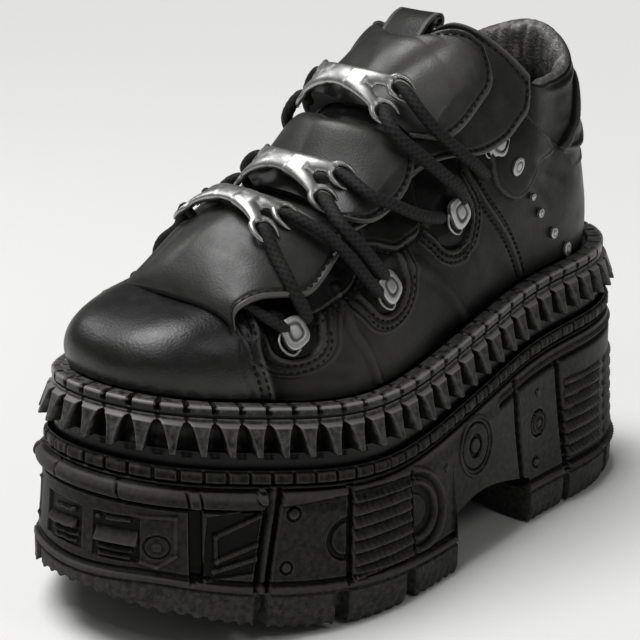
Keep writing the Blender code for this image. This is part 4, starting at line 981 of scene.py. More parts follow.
def build_upper(look):
    """Outer skin of the upper: the last's wall with every layer and crease raised on it.

    The lift along the wall's normal is a function of station and share: steps where one leather lies on
    another, beads along seams, U pockets sunk round the tags, and slow unevenness with a few creases.
    """
    skin = Skin()
    behind_edge = add_cap(skin)
    add_facings(skin)
    for sign, _ in SIDES:
        for add in (add_seams, add_pockets, add_overlays, add_creases):
            add(skin, sign)
    # Folds across the back, and piping down from the collar.
    for level in HEEL_FOLDS:
        wave = 0.03 * np.cos((STATIONS / 2 - skin.half) * 2.2)
        skin.lift += 0.7 * bump_at(skin.share - level - wave, 0.020) * step_up(skin.half - 11.2, 0.4)
    skin.lift += 0.7 * bump_at(skin.share - 0.955, 0.03) * step_up(skin.half - 9.6, 0.3)
    # Painted light: the leather is lightened low on the vamp and low at the heel.
    painted_light_vamp = 0.24 * step_up(skin.half - 3.5, 0.3) * step_up(6.4 - skin.half, 0.7)
    skin.light += step_up(0.36 - skin.share, 0.08) * (painted_light_vamp + 0.14 * step_up(skin.half - 8.9, 0.8))
    # The medial side of the toe stands a little fuller. The foot of the wall stays where it is.
    skin.lift += 2.6 * bump_at(skin.half - 2.1, 2.0) * (skin.side < 0) * bump_at(skin.share - 0.45, 0.5)
    skin.lift *= np.clip(skin.rows * 40.0, 0.0, 1.0)
    outer = skin.base + skin.lift[..., None] * wall_normal(skin.turn, skin.share)
    top_turn, top_share = skin.turn[-1:], skin.share[-1:]
    edge_in = wall_point(top_turn, top_share) - WALL * wall_normal(top_turn, top_share)
    round_over = (outer[-1:] + edge_in) / 2 + 0.7 * unit(outer[-1:] - outer[-3:-2])
    points = np.concatenate([outer, round_over, edge_in])
    # Painted light of the upper: highlights on the raised edges of its relief, shade in its corners, and the
    # painted marks above.
    return piece("upper_skin", [grid(points, wrap_columns=True, flip=True)], look, "upper_leather",
                 ["upper", "heel_counter"], angle=60,
                 painted_light_and_groove_dark=np.clip(edge_wear(skin.lift, 0.9) + skin.light, 0.0, 1.0), polish=step_up(behind_edge, 1.0))


def build_lining(look):
    """Inner face of the upper, a plain skin one wall thickness inside it."""
    turns = even_turns(180)
    share = np.linspace(0.0, 1.0, 28)[:, None] * lip_at(turns)[None, :]
    turn = np.broadcast_to(turns, share.shape)
    inner = wall_point(turn, share) - WALL * wall_normal(turn, share)
    return piece("upper_lining", [grid(inner, wrap_columns=True)], look, "collar_lining")


def build_insole(look):
    """Insole: a slightly hollowed board inside the upper, ring by ring to the middle line."""
    turns = even_turns(220)[None, :]
    inset = np.array([9.6, 10.2, 11.0, 12.5, 15.0, 20.0])[:, None]
    lift = np.array([0.6, 2.6, 3.6, 4.2, 4.3, 4.0])[:, None]
    plan = outline(turns + 0 * inset, -inset)
    height = welt_height(plan[..., 1]) + lift
    rings = np.concatenate([plan, height[..., None]], axis=-1)
    middle = rings[-1:].copy()
    middle[..., 0] = -1.0
    middle[..., 1] = np.clip(middle[..., 1], -105.0, 95.0)
    middle[..., 2] = welt_height(middle[..., 1]) + 3.4
    return piece("insole_board", [grid(np.concatenate([rings, middle]), wrap_columns=True)], look,
                 "insole_fabric", ["insole"])


# --- Tongue and flaps -------------------------------------------------------------------------------
# Shields, front to rear: the middle's station, then the station and the share of the lateral edge.
TONGUE = np.array([(3.75, 3.9, 0.77), (4.4, 4.6, 0.685), (5.3, 5.6, 0.57), (6.2, 6.6, 0.55),
                   (6.9, 7.5, 0.49), (7.3, 8.07, 0.482), (7.6, 8.55, 0.58), (7.8, 8.88, 0.745),
                   (7.95, 9.28, 0.962)], dtype=float)
INSTEP_FLAP = np.array([(5.10, 5.22, 0.68), (5.40, 5.56, 0.575), (5.65, 5.97, 0.545), (5.88, 6.34, 0.55),
                        (6.02, 6.58, 0.595), (6.14, 6.58, 0.665)], dtype=float)
ANKLE_FLAP = np.array([(6.45, 6.80, 0.645), (6.85, 7.30, 0.56), (7.2, 7.72, 0.57), (7.5, 8.04, 0.635),
                       (7.68, 8.30, 0.745), (7.78, 8.36, 0.90)], dtype=float)
# Loose flap, front to rear: y and z of the middle, half widths on the lateral and the medial side, how far
# the edges lie behind the middle, and how far they hang on the lateral and the medial side.
TOE_FLAP = np.array([
    (-109, 123.6, 31, 30, 5, 5.3, 4.8),
    (-104, 128.6, 31, 30, 8, 7.5, 8.0),
    (-96, 136.0, 31.5, 30.5, 11, 11.0, 12.5),
    (-86, 143.0, 32.5, 31.5, 12, 14.5, 15.2),
    (-74, 148.4, 33.5, 32.0, 11, 16.0, 14.0),
    (-60, 151.9, 30.5, 30.5, 6, 12.0, 9.5),
], dtype=float)


def sink(station, share):
    """How far the tongue drops into the open throat, nothing where it lies on the quarters."""
    lip = lip_at(turn_of(station))
    into = np.clip((share - lip - 0.03) / np.maximum(0.97 - lip, 0.02), 0.0, 1.0)
    rear = np.minimum(station, STATIONS - station)
    fade = np.clip((1.0 - lip) / 0.38, 0.0, 1.0) * np.clip((8.2 - rear) / 0.5, 0.0, 1.0)
    return THROAT_SINK * into * (2.0 - into) * fade


def stand_up(points, station, share):
    """Points of the tongue or a flap with the wings' rear edge raised clear of the quarters."""
    rear = np.clip((np.minimum(station, STATIONS - station) - 7.9) / 1.25, 0.0, 1.0)
    near = np.clip((share - 0.80) / 0.20, 0.0, 1.0) ** 1.2
    rise = np.where(station < STATIONS / 2, 8.0, 3.0)
    return points + (rise * np.sin(np.pi * rear) ** 0.8 * near)[..., None] * UP


def shield_places(table, rows, columns):
    """Stations, shares, cross places and row places of a shield's grid, lateral edge first."""
    r = np.linspace(0.0, 1.0, rows)
    read = read_table(np.linspace(0.0, 1.0, len(table)), table, r)
    middle, edge_station, edge_share = (read[:, i:i + 1] for i in range(3))
    c = np.sin(np.linspace(1.0, -1.0, columns) * np.pi / 2)[None, :]
    station = middle + (edge_station - middle) * np.abs(c) ** (1.36 if table is TONGUE else 1.5)
    share = 1.0 - (1.0 - edge_share) * np.abs(c)
    if table is TONGUE:
        corner = np.clip((r[:, None] - 0.90) / 0.10, 0, 1) * np.clip((np.abs(c) - 0.82) / 0.18, 0, 1)
        station = station - 0.30 * corner ** 2
    return station, share, np.broadcast_to(c, station.shape), np.broadcast_to(r[:, None], station.shape)


def tongue_thickness(share):
    return 1.6 + 0.4 * np.clip((share - 0.5) / 0.5, 0.0, 1.0)


def lifted(station, share, c, lift):
    """Points of a shield at a height over the quarters, with the rear edge raised clear of them."""
    places = mirrored(station, c)
    return stand_up(on_upper(places, share, lift), places, share)


def rim_distance(points):
    """Distances over the surface from each grid point to the lateral, medial, front and rear borders."""
    def run(axis):
        steps = np.linalg.norm(np.diff(points, axis=axis), axis=-1)
        total = np.cumsum(steps, axis=axis)
        zero = np.zeros_like(np.take(total, [0], axis=axis))
        forward = np.concatenate([zero, total], axis=axis)
        return forward, np.take(forward, [-1], axis=axis) - forward
    return run(1) + run(0)


def build_tongue(look):
    """Tongue with wings: a sheet that follows the throat, with a folded rim and a stitched channel inside it."""
    station, share, c, r = shield_places(TONGUE, 116, 96)
    low = EASE - sink(station, share)
    under, over = (lifted(station, share, c, level) for level in (low, low + tongue_thickness(share)))
    lateral, medial, _, rear = rim_distance(over)
    away = np.minimum(np.minimum(lateral, medial), rear)
    lift = 0.8 * bump_at(away - 0.8, 1.0) - 0.5 * bump_at(away - 2.6, 0.9) + 0.25 * soft_noise(over, 14.0, 5)
    lift += 0.8 * np.sin(r * 9.0 + 1.5 * np.abs(c)) * np.abs(c) ** 2 * (r > 0.5) * (r < 0.95)
    normal = outward_normals(over)
    over = over + lift[..., None] * normal
    # Painted highlight along the folded rim, painted shade in the stitched channel.
    painted_light_and_groove_dark = np.clip(0.5 + 0.35 * step_up(1.5 - away, 0.4) - 0.4 * bump_at(away - 2.6, 0.9), 0.0, 1.0)
    piece("tongue_sheet", [shell(under, over)], look, "tongue_leather", ["tongue"], angle=60, painted_light_and_groove_dark=painted_light_and_groove_dark)
    return over, normal


def flap_surface(table, puff, rows, columns):
    """Under and upper faces of a padded shield, full in the middle and thick at its rolled rim."""
    station, share, c, r = shield_places(table, rows, columns)
    low = EASE - sink(station, share) + tongue_thickness(share) + 1.5
    full = puff * (1.0 - np.abs(c) ** 2.4) * (0.30 + 0.70 * np.sin(np.pi * r ** 1.9))
    full *= np.clip((1.0 - r) / 0.12, 0.0, 1.0)
    if table is ANKLE_FLAP:
        full = full + 5.5 * bump_at(c + 0.58, 0.42) * np.exp(-(r / 0.42) ** 2)
    return lifted(station, share, c, low), lifted(station, share, c, low + 1.1 + 0.6 * r + full), c, r


def finish_flap(name, under, over, look, node, folds, painted_highlight=0.0):
    """Add the stitched channel, the thick rim and soft folds to a flap, and make it a padded piece."""
    lateral, medial, front, rear = rim_distance(over)
    away = np.minimum(np.minimum(lateral, medial), rear)
    lift = (0.9 * step_up(2.0 - away, 0.6) - 0.4 * bump_at(away - 3.2, 1.1) - 1.1 * step_up(0.5 - away, 0.5)
            + 0.3 * soft_noise(over, 11.0, 7) + folds)
    lift *= np.clip(front / 2.0, 0.0, 1.0)
    normal = outward_normals(over)
    over = over + lift[..., None] * normal
    # Painted highlight along the thick rim, painted shade in the stitched channel, and any broad painted highlight
    # passed in.
    painted_light_and_groove_dark = np.clip(0.5 + painted_highlight + 0.33 * step_up(1.5 - away, 0.4) - 0.7 * bump_at(away - 3.0, 1.3), 0.0, 1.0)
    made = piece(name, [shell(under, over)], look, "flap_leather", [node], angle=60, painted_light_and_groove_dark=painted_light_and_groove_dark)
    return over, normal


def build_instep_flap(look):
    under, over, c, r = flap_surface(INSTEP_FLAP, 6.8, 84, 104)
    folds = 0.5 * np.sin(7.0 * c + 3.0 * r) * (1 - c**2) * (1 - r)
    return finish_flap("instep_flap_pad", under, over, look, "instep_flap", folds)


def build_ankle_flap(look):
    under, over, c, r = flap_surface(ANKLE_FLAP, 4.6, 84, 104)
    folds = -1.2 * np.exp(-((c - 0.25 - 0.35 * r) / 0.10) ** 2) * (1 - c**2) * np.sin(np.pi * r)
    # Broad painted highlight on the lateral part of the flap.
    painted_highlight = 0.26 * np.exp(-((c - 0.45) / 0.38) ** 2 - ((r - 0.55) / 0.34) ** 2)
    return finish_flap("ankle_flap_pad", under, over, look, "ankle_flap", folds, painted_highlight)


# How the front flap's lateral edge is moved by hand wear: place along it, then mm across, along and up.
TOE_CURL = np.array([(0.0, -1.0, -2.0, -2.3), (0.1, -2.5, -4.5, 1.6), (0.2, -1.0, -6.0, 3.4),
                     (0.3, 0.7, -4.5, 3.4), (0.4, 3.0, -3.0, 1.2), (0.5, 5.0, -1.5, -1.6),
                     (0.6, 5.5, -2.0, -3.6), (0.8, 3.5, -3.0, -3.4), (1.0, 5.0, -1.0, -2.9)])
HANG = 1.25     # angle over which a section of the loose flap bends down


def toe_flap_faces(rows, columns):
    """Loose front flap: sections across it, each a hanging curve, with its front lateral corner curled up."""
    r = np.linspace(0.0, 1.0, rows)
    table = read_table(np.linspace(0.0, 1.0, len(TOE_FLAP)), TOE_FLAP, r)
    c = np.sin(np.linspace(1.0, -1.0, columns) * np.pi / 2)[None, :]
    mid_y, mid_z, half_lat, half_med, back, drop_lat, drop_med = (table[:, i:i + 1] for i in range(7))
    lateral = c >= 0
    half = np.where(lateral, half_lat, half_med)
    drop = np.where(lateral, drop_lat, drop_med)
    reach = np.abs(c)
    x = half * np.sin(c * HANG) / math.sin(HANG)
    y = mid_y + back * reach ** 1.6
    z = mid_z - drop * reach ** 1.85
    row = 2 * r[:, None] - 1
    tilt = 0.9 * np.sign(c) * reach ** 1.3
    curl = read_table(TOE_CURL[:, 0], TOE_CURL[:, 1:], r)
    near = np.clip((c - 0.45) / 0.55, 0.0, 1.0) ** 1.7
    sheet = np.stack([x, y, z], axis=-1) + near[..., None] * curl[:, None, :]

    def face(lift, puff):
        swell = lift + puff * (1.0 - reach ** 4) * (1.0 - np.abs(row) ** 4)
        return sheet + np.stack([swell * np.sin(tilt), -0.35 * swell, swell * np.cos(tilt)], axis=-1)

    return face(0.0, 0.0), face(2.2, 2.4), c + 0 * r[:, None], r[:, None] + 0 * c


def build_toe_flap(look):
    under, over, c, r = toe_flap_faces(96, 108)
    folds = (0.7 * np.exp(-((c + 0.30 - 0.5 * r) / 0.12) ** 2) * np.sin(np.pi * r)
             - 0.7 * np.exp(-((c + 0.62 - 0.35 * r) / 0.10) ** 2) * np.sin(np.pi * r))
    return finish_flap("toe_flap_pad", under, over, look, "toe_flap", folds)


STRAP_ACROSS = np.linspace(-10.0, 10.0, 21)


def strap(line, half_thick):
    """Flat band along a path of (y, z) points, bowed a little across its width."""
    tangent = unit(np.gradient(line, axis=0))
    side = np.stack([-tangent[:, 1], tangent[:, 0]], axis=-1)
    faces = []
    for offset in (-half_thick, half_thick):
        y, z = np.hsplit(line + side * offset, 2)
        x = STRAP_ACROSS + 0 * y
        faces.append(np.stack([x, y + 0.06 * np.abs(x) ** 1.2, z + 0 * x], axis=-1))
    return shell(*faces)


def build_pull_loop(look):
    """Strap sewn to the top of the tongue: it ends in a spiral, and its inner half comes back under it."""
    path = smooth_line([(14.5, 202.4), (18.0, 206.0), (21.6, 209.6), (25.4, 212.2), (29.2, 213.4)], 34)
    angle = np.linspace(1.5, -5.2, 56)
    radius = 2.7 - 1.1 * np.linspace(0, 1, 56)
    coil = np.stack([29.6 + radius * np.cos(angle), 210.7 + radius * np.sin(angle)], axis=-1)
    outer = np.concatenate([path, coil[3:]])
    inner = smooth_line([(16.0, 201.2), (20.6, 204.6), (25.0, 207.9), (29.0, 209.9)], 16)
    # The strap's long edges carry a painted highlight.
    rim = np.abs(STRAP_ACROSS) > 8.6
    return piece("pull_loop_strap", [strap(outer, 0.8), strap(inner, 0.6)], look, "tongue_leather",
                 ["pull_loop"], angle=50, painted_light_and_groove_dark=0.5 + 0.4 * np.tile(rim, (len(outer), 1)))


COLLAR_START = 9.45     # station where the padded roll begins on the lateral side
# Section of the roll from the lip down: depth inside the leather in millimetres, share.
COLLAR_SECTION = ((0.2, 1.0), (2.2, 1.025), (5.0, 1.02), (8.0, 0.97), (9.0, 0.88), (7.5, 0.76), (4.5, 0.66),
                  (2.6, 0.60))


def build_collar_pad(look):
    """Padded roll of lining inside the collar, gathered in fine upright pleats."""
    stations = np.linspace(COLLAR_START, STATIONS - COLLAR_START, 380)
    depth, share = np.hsplit(smooth_line(COLLAR_SECTION, 34), 2)
    end = np.clip((np.minimum(stations, STATIONS - stations) - COLLAR_START) / 0.5, 0.0, 1.0)
    share = 0.93 + (share - 0.93) * (0.5 + 0.5 * end)
    depth = depth * (0.25 + 0.75 * end)
    held = np.clip(share, 0.0, 1.0)
    loose = on_upper(stations, held, -depth)
    pleat = (0.35 * soft_noise(loose * np.array([1.0, 1.0, 0.28]), 2.9, 11)
             + 0.45 * soft_noise(loose * np.array([1.0, 1.0, 0.30]), 1.7, 12))
    pleat *= np.clip(depth / 3.0, 0.0, 1.0)
    points = on_upper(stations, held, 1.8 - WALL - depth - pleat)
    points[..., 2] += np.clip(share - 1.0, 0.0, 0.1) * 90.0
    # Painted highlight on the crests of the pleats, painted shade in their hollows.
    made = piece("collar_roll", [grid(points)], look, "collar_lining", ["collar_pad"], angle=70,
                 painted_light_and_groove_dark=np.clip(0.5 + 0.4 * pleat, 0.0, 1.0))
    return made


# --- Metalwork --------------------------------------------------------------------------------------
# Bridges: y and z of the middle, slope in degrees, reach to the rings, radius of the bend, rings' offset.
BRIDGES = {
    "toe": (-76.9, 156.0, 15.0, 21.5, 32.0, 6.2),
    "instep": (-49.2, 164.5, 35.0, 23.0, 30.0, 6.4),
    "ankle": (-16.1, 193.0, 41.0, 23.0, 28.0, 6.2),
}
BRIDGE_THICK = 2.4
VOXEL_MM = 0.46
# Open ring at the end of an arm, round its centre.
HOOK = ((6.2, 3.1), (3.6, 4.1), (-0.2, 4.2), (-2.9, 2.7), (-3.8, 0.0), (-2.9, -2.7), (-0.2, -4.2),
        (3.6, -4.1), (6.2, -3.1))


def bent(key, flat):
    """Points of a bridge's flat state (across, along the foot, out) bent over the tongue."""
    y, z, slope_deg, _, radius, _ = BRIDGES[key]
    slope = math.radians(slope_deg)
    along = np.array([0, math.cos(slope), math.sin(slope)])
    out = np.array([0, -math.sin(slope), math.cos(slope)])
    middle = np.array([0, y, z]) + out * BRIDGE_THICK / 2
    a, b, h = flat[..., 0], flat[..., 1], flat[..., 2]
    angle = a / radius
    return (middle + b[..., None] * along + ((radius + h) * np.cos(angle) - radius)[..., None] * out
            + ((radius + h) * np.sin(angle))[..., None] * np.array([1.0, 0, 0]))


def ring_centre(key, upper_ring, sign):
    reach, offset = BRIDGES[key][3], BRIDGES[key][5]
    return bent(key, np.array([sign * reach, offset if upper_ring else -offset, 0.0]))


def build_bridge(key, look):
    """Cast bar: a waisted body whose two ends fork into arms, each ending in an open hook ring.

    Flattened tubes with tapering radii follow the body, the arms and the rings in the bar's flat state;
    their union is remeshed, smoothed so that the joins flow, and bent over the tongue.
    """
    reach, offset = BRIDGES[key][3], BRIDGES[key][5]
    a = np.linspace(-10.5, 10.5, 40)
    body = np.stack([a, 0 * a + 0.3, 0 * a + 0.4], -1)
    parts = [tube(body, 4.9 + 0.8 * (a / 10.5) ** 2, 28, 0.40, UP)]
    hook = smooth_line(HOOK, 60)
    taper = 1.45 - 0.85 * np.abs(np.linspace(-1, 1, 60)) ** 2.2
    crotch = np.linspace(8.0, 15.2, 16)
    arm = smooth_line([(5.5, 1.3), (10.0, 2.6), (14.3, 4.1), (reach - 3.2, offset)], 36)
    for sx in (-1, 1):
        web = np.stack([sx * crotch, 0 * crotch, 0.3 + 0 * crotch], -1)
        parts.append(tube(web, np.linspace(3.6, 1.3, 16), 18, 0.42, UP))
        for sy in (-1, 1):
            line = np.stack([sx * arm[:, 0], sy * arm[:, 1], 0.4 + 0 * arm[:, 0]], -1)
            parts.append(tube(line, np.linspace(4.1, 2.5, 36), 22, 0.55, UP))
            ring = np.stack([sx * (reach + hook[:, 0]), sy * offset + hook[:, 1], 0.2 + 0 * hook[:, 0]], -1)
            parts.append(tube(ring, taper, 14, 0.95, UP))
    points, faces = joined(parts)
    mesh = bpy.data.meshes.new("bridge_work")
    mesh.from_pydata((points * MM).tolist(), [], faces.tolist())
    work = bpy.data.objects.new("bridge_work", mesh)
    bpy.context.scene.collection.objects.link(work)
    merge = work.modifiers.new("merge", "REMESH")
    merge.mode = "VOXEL"
    merge.voxel_size = VOXEL_MM * MM
    merge.use_smooth_shade = True
    ease = work.modifiers.new("ease", "SMOOTH")
    ease.factor = 0.5
    ease.iterations = 8
    graph = bpy.context.evaluated_depsgraph_get()
    done = bpy.data.meshes.new_from_object(work.evaluated_get(graph))
    flat = np.empty(len(done.vertices) * 3, np.float32)
    done.vertices.foreach_get("co", flat)
    flat = flat.reshape(-1, 3).astype(float) / MM
    quads = np.empty(len(done.loops), np.int32)
    done.loops.foreach_get("vertex_index", quads)
    bpy.data.objects.remove(work, do_unlink=True)
    return piece(f"bridge_{key}_cast", [(bent(key, flat), quads.reshape(-1, 4))], look, "metal",
                 [f"bridge_{key}"], angle=80)


EYELETS = ((3.76, 0.382), (5.62, 0.352), (7.40, 0.352), (8.50, 0.556))     # station and share
TAG_TURN = 8.0          # degrees
TAG_HALVES = (5.2, 5.7)     # half lengths of a tag along and up
TAG_TIP, TAG_TIP_AT = 0.9, math.radians(235.0)      # length and direction of a tag's soft point
STUD_TURN = 5.0         # degrees
# Bow of wire that holds the lace, about a tag's middle: along, up, out.
BOW = ((-4.6, 2.2, 1.0), (-7.4, -0.6, 1.5), (-7.4, -4.6, 1.6), (-4.6, -7.6, 1.4), (-0.6, -6.6, 0.8))
# Studs: node's name with a gap for the side, station, share, half width, half height, lift.
STUDS = (("tab_stud_{}", 8.86, 0.522, 2.9, 4.0, 1.7), ("heel_stud_{}_1", 9.45, 0.403, 1.5, 1.65, 0.6),
         ("heel_stud_{}_2", 9.77, 0.302, 1.9, 2.09, 0.6), ("heel_stud_{}_3", 10.24, 0.163, 2.3, 2.53, 0.6),
         ("heel_stud_{}_4", 10.74, 0.035, 2.6, 3.51, 0.6))


def placed(flat, station, share, side, turn_deg, lift):
    """Flat points (along, up, out) turned to lie on the upper at a place."""
    middle, x, y, out = local_frame(station, share, side, turn_deg)
    return middle + lift * out + flat[..., :1] * x + flat[..., 1:2] * y + flat[..., 2:] * out


DOME_RIM = 0.62         # share of a button's height that its upright rim takes


def dome(outline_points, height, rings=20, groove=0.50, groove_width=0.19):
    """Domed button over an outline, as points and a value that darkens its groove: rings shrink to the middle
    as the height rises on a quarter ellipse, and a round groove is pressed into it."""
    t = np.linspace(0.0, 1.0, rings)[:, None]
    scale = np.concatenate([[[1.0]], [[1.0]], np.cos(t * np.pi / 2) ** 0.8 * 0.999 + 0.001])
    level = np.concatenate([[[0.0]], [[DOME_RIM]], DOME_RIM + (1 - DOME_RIM) * np.sin(t * np.pi / 2)])
    pressed = bump_at(scale - groove, groove_width)
    centre = outline_points.mean(0)
    plan = centre + (outline_points - centre)[None] * scale[..., None]
    level = np.broadcast_to((height * (level - 0.14 * pressed))[..., None], plan.shape[:2] + (1,))
    return (np.concatenate([plan, level], axis=-1),
            np.broadcast_to(np.clip(0.60 - 0.55 * pressed, 0.0, 1.0), plan.shape[:2]))


def tag_outline():
    """Outline of a tag: a squarish oval drawn out to a soft point in one direction."""
    angle = np.linspace(0, 2 * np.pi, 36, endpoint=False)
    pull = TAG_TIP * np.clip(np.cos(angle - TAG_TIP_AT), 0, 1) ** 3
    squared = (np.abs(np.cos(angle)) ** 3 + np.abs(np.sin(angle)) ** 3) ** (1 / 3)
    grow = (1.0 + pull / min(TAG_HALVES)) / squared
    return np.stack([np.cos(angle), np.sin(angle)], axis=-1) * TAG_HALVES * grow[:, None]


def build_tags(look):
    """Lace tags: domed drops with one plain round groove, over a wire bow that holds the lace."""
    bow = smooth_line(BOW, 30)
    for number, (station, share) in enumerate(EYELETS, start=1):
        hidden = number == len(EYELETS)     # the last tag is mostly under the wing, so it lies flat
        base, wire_lift, height = (0.1, -0.6, 1.9) if hidden else (2.0, 1.0, 2.8)
        button, button_groove_dark = dome(tag_outline(), height)
        for side, word in SIDES:
            shell_part = grid(placed(button, station, share, side, TAG_TURN, base), wrap_columns=True)
            wire = tube(placed(bow, station, share, side, TAG_TURN, wire_lift), 0.5, 8)
            light_and_groove_marks = np.concatenate([button_groove_dark.ravel(), np.full(len(wire[0]), 0.5)])
            piece(f"tag_{word}_{number}", [shell_part, wire], look, "metal", [f"eyelet_{word}_{number}"],
                  angle=45, painted_light_and_groove_dark=light_and_groove_marks)


def build_studs(look):
    """Oval stud on the tab and four round studs down the back of the quarter, each a low grooved dome."""
    angle = np.linspace(0, 2 * np.pi, 30, endpoint=False)
    for node, station, share, wide, tall, lift in STUDS:
        button, light_and_groove_marks = dome(np.stack([wide * np.cos(angle), tall * np.sin(angle)], axis=-1), 1.5, 14, 0.52, 0.16)
        for side, word in SIDES:
            points = placed(button, station, share, side, STUD_TURN, lift)
            name = node.replace("_{}", "") + "_" + word
            piece(name, [grid(points, wrap_columns=True)], look, "metal", [node.format(word)], angle=45, painted_light_and_groove_dark=light_and_groove_marks)


# --- Laces ------------------------------------------------------------------------------------------
# Runs from a ring of a bridge down to the upper: bridge, upper ring, then (station, share, lift) places.
LACES = (
    ("toe", False, ((4.01, 0.705, 12.5), (3.94, 0.605, 11.0), (3.94, 0.535, 9.0), (4.01, 0.475, 6.0),
                    (4.07, 0.42, 2.5))),
    ("toe", True, ((4.73, 0.72, 13.0), (4.85, 0.65, 12.5), (4.95, 0.58, 11.5), (5.07, 0.50, 9.5),
                   (5.22, 0.425, 6.5), (5.40, 0.365, 3.4))),
    ("instep", False, ((5.11, 0.645, 12.5), (5.16, 0.575, 12.0), (5.26, 0.51, 10.0), (5.39, 0.45, 7.0),
                       (5.56, 0.395, 3.4))),
    ("instep", True, ((5.63, 0.65, 11.5), (5.84, 0.58, 10.0), (6.18, 0.495, 8.0), (6.64, 0.42, 5.5),
                      (6.98, 0.38, 2.8))),
    ("ankle", False, ((6.39, 0.73, 12.0), (6.52, 0.64, 11.0), (6.81, 0.545, 9.5), (7.17, 0.455, 7.5),
                      (7.43, 0.40, 4.6), (7.48, 0.37, 2.6))),
    ("ankle", True, ((6.91, 0.72, 12.0), (7.02, 0.635, 11.0), (7.28, 0.545, 9.0), (7.64, 0.465, 7.0),
                     (8.03, 0.418, 3.0))),
)
# Short strand from under the front flap's corner into the first tag.
STRAND = ((3.06, 0.60, 5.5), (3.12, 0.58, 5.6), (3.29, 0.515, 5.0), (3.46, 0.46, 4.0), (3.62, 0.41, 3.0))
LACE_HALF = 2.7
CORD_SIDES = 28


def braid(line, half):
    """Round braided cord along a path: the radius is woven by two crossing families of diagonals."""
    runs = runs_along(line)
    even = np.linspace(0, runs[-1], max(int(runs[-1] / 0.52), 24))
    path = read_path(line, runs, even)
    taper = half * (0.72 + 0.28 * np.clip((even - 2.0) / 8.0, 0.0, 1.0))
    points, faces = tube(path, taper, CORD_SIDES, 0.86)
    rings = points.reshape(-1, CORD_SIDES, 3)
    centre = rings.mean(1, keepdims=True)
    s = runs_along(centre[:, 0])[:, None]
    turn = np.arange(CORD_SIDES)[None, :] * 2 * np.pi / CORD_SIDES
    weave = np.maximum(np.sin(5 * turn + s * 2.4), np.sin(5 * turn - s * 2.4)) - 0.4
    woven = centre + (rings - centre) * (1.0 + 0.055 * weave[..., None])
    # The weave also gives painted highlights on the proud strands and painted shade between them.
    return (woven.reshape(-1, 3), faces), np.clip(0.5 + 0.3 * weave, 0.0, 1.0)


def lace_places(places, side, slim):
    """Listed (station, share, lift) places of a lace, carried to a side."""
    return np.array([on_upper(mirrored(station, side), share, lift * slim) for station, share, lift in places])


def build_laces(look):
    """Lace runs from the bridges' rings to the tags, and a short strand in front of them on each side."""
    for number, (key, upper_ring, places) in enumerate(LACES, start=1):
        for side, word in SIDES:
            start = ring_centre(key, upper_ring, side)
            inward = start + np.array([-2.0 * side, 1.0, -2.8])
            through = start + np.array([0.8 * side, 0, 0.1])
            run = lace_places(places, side, 1.0 if side > 0 else 0.80)
            cord, weave = braid(smooth_line([inward, through, *run], 120), LACE_HALF)
            piece(f"lace_run_{word}_{number}", [cord], look, "lace_cord", [f"lace_{word}_{number}"],
                  angle=75, painted_light_and_groove_dark=weave)
    for side, word in SIDES:
        line = smooth_line(lace_places(STRAND, side, 1.0 if side > 0 else 0.5), 60)
        cord, weave = braid(line, LACE_HALF * 0.92)
        piece(f"lace_strand_{word}", [cord], look, "lace_cord", angle=75, painted_light_and_groove_dark=weave)


# --- Stitching --------------------------------------------------------------------------------------
def lateral_and_medial(line, offset_mm, lift):
    """Dense path on the upper beside a tabled line, on each side, with its surface normals."""
    for side, _ in SIDES:
        stations, shares = on_side(line, side)
        points = on_upper(stations, shares, lift)
        normals = wall_normal(turn_of(stations), shares)
        sideways = np.cross(normals, unit(np.gradient(points, axis=0))) * side
        yield points + offset_mm * sideways, normals


def pocket_paths(row, offset, lift):
    """U path at a distance outside a pocket's outline, on each side, with its surface normals."""
    station, share, half_along, half_up, turn_deg = row
    angle = np.radians(np.linspace(160.0, 380.0, 90))
    along, up = (half_along + offset) * np.cos(angle), (half_up + offset) * np.sin(angle)
    flat = np.stack([along, up, 0 * angle], axis=-1)
    for side, _ in SIDES:
        yield drop_on_upper(placed(flat, station, share, side, turn_deg, 0.0), lift)


def drop_on_upper(points, lift):
    """Nearest places of the upper's face under loose points, lifted, with normals."""
    s = np.linspace(0.0, STATIONS, 781)[:, None]
    v = np.linspace(0.0, 1.0, 121)[None, :]
    stations, shares = (q.ravel() for q in np.broadcast_arrays(s, v))
    surface = wall_point(turn_of(stations), shares)
    near = np.linalg.norm(surface - points.mean(0), axis=1) < 40
    stations, shares, surface = stations[near], shares[near], surface[near]
    found = np.array([np.argmin(((surface - p) ** 2).sum(1)) for p in points])
    normal = wall_normal(turn_of(stations[found]), shares[found])
    flat = points - ((points - surface[found]) * normal).sum(1, keepdims=True) * normal
    return flat + lift * normal, normal


def border_path(over, normal, inset):
    """Path over a flap at a distance inside its lateral, rear and medial borders, with its normals."""
    lateral, medial, _, rear = rim_distance(over)
    rows, columns = over.shape[:2]
    up_rows = np.arange(int(rows * 0.05), rows)
    left = np.argmax(lateral >= inset, axis=1)
    right = columns - 1 - np.argmax(medial[:, ::-1] >= inset, axis=1)
    across = np.arange(left[-1], right[-1])
    behind = rows - 1 - np.argmax(rear[::-1] >= inset, axis=0)
    down_rows = up_rows[:0:-1]
    up_rows = up_rows[rear[up_rows, left[up_rows]] >= inset]
    down_rows = down_rows[rear[down_rows, right[down_rows]] >= inset]
    at = (np.concatenate([up_rows, behind[across], down_rows]),
          np.concatenate([left[up_rows], across, right[down_rows]]))
    path, out = over[at], normal[at]
    keep = np.concatenate([[True], np.linalg.norm(np.diff(path, axis=0), axis=1) > 0.05])
    padded = np.pad(path[keep], ((3, 3), (0, 0)), mode="edge")
    smooth = [np.convolve(padded[:, k], np.ones(7) / 7, mode="valid") for k in range(3)]
    return np.stack(smooth, axis=-1), out[keep]


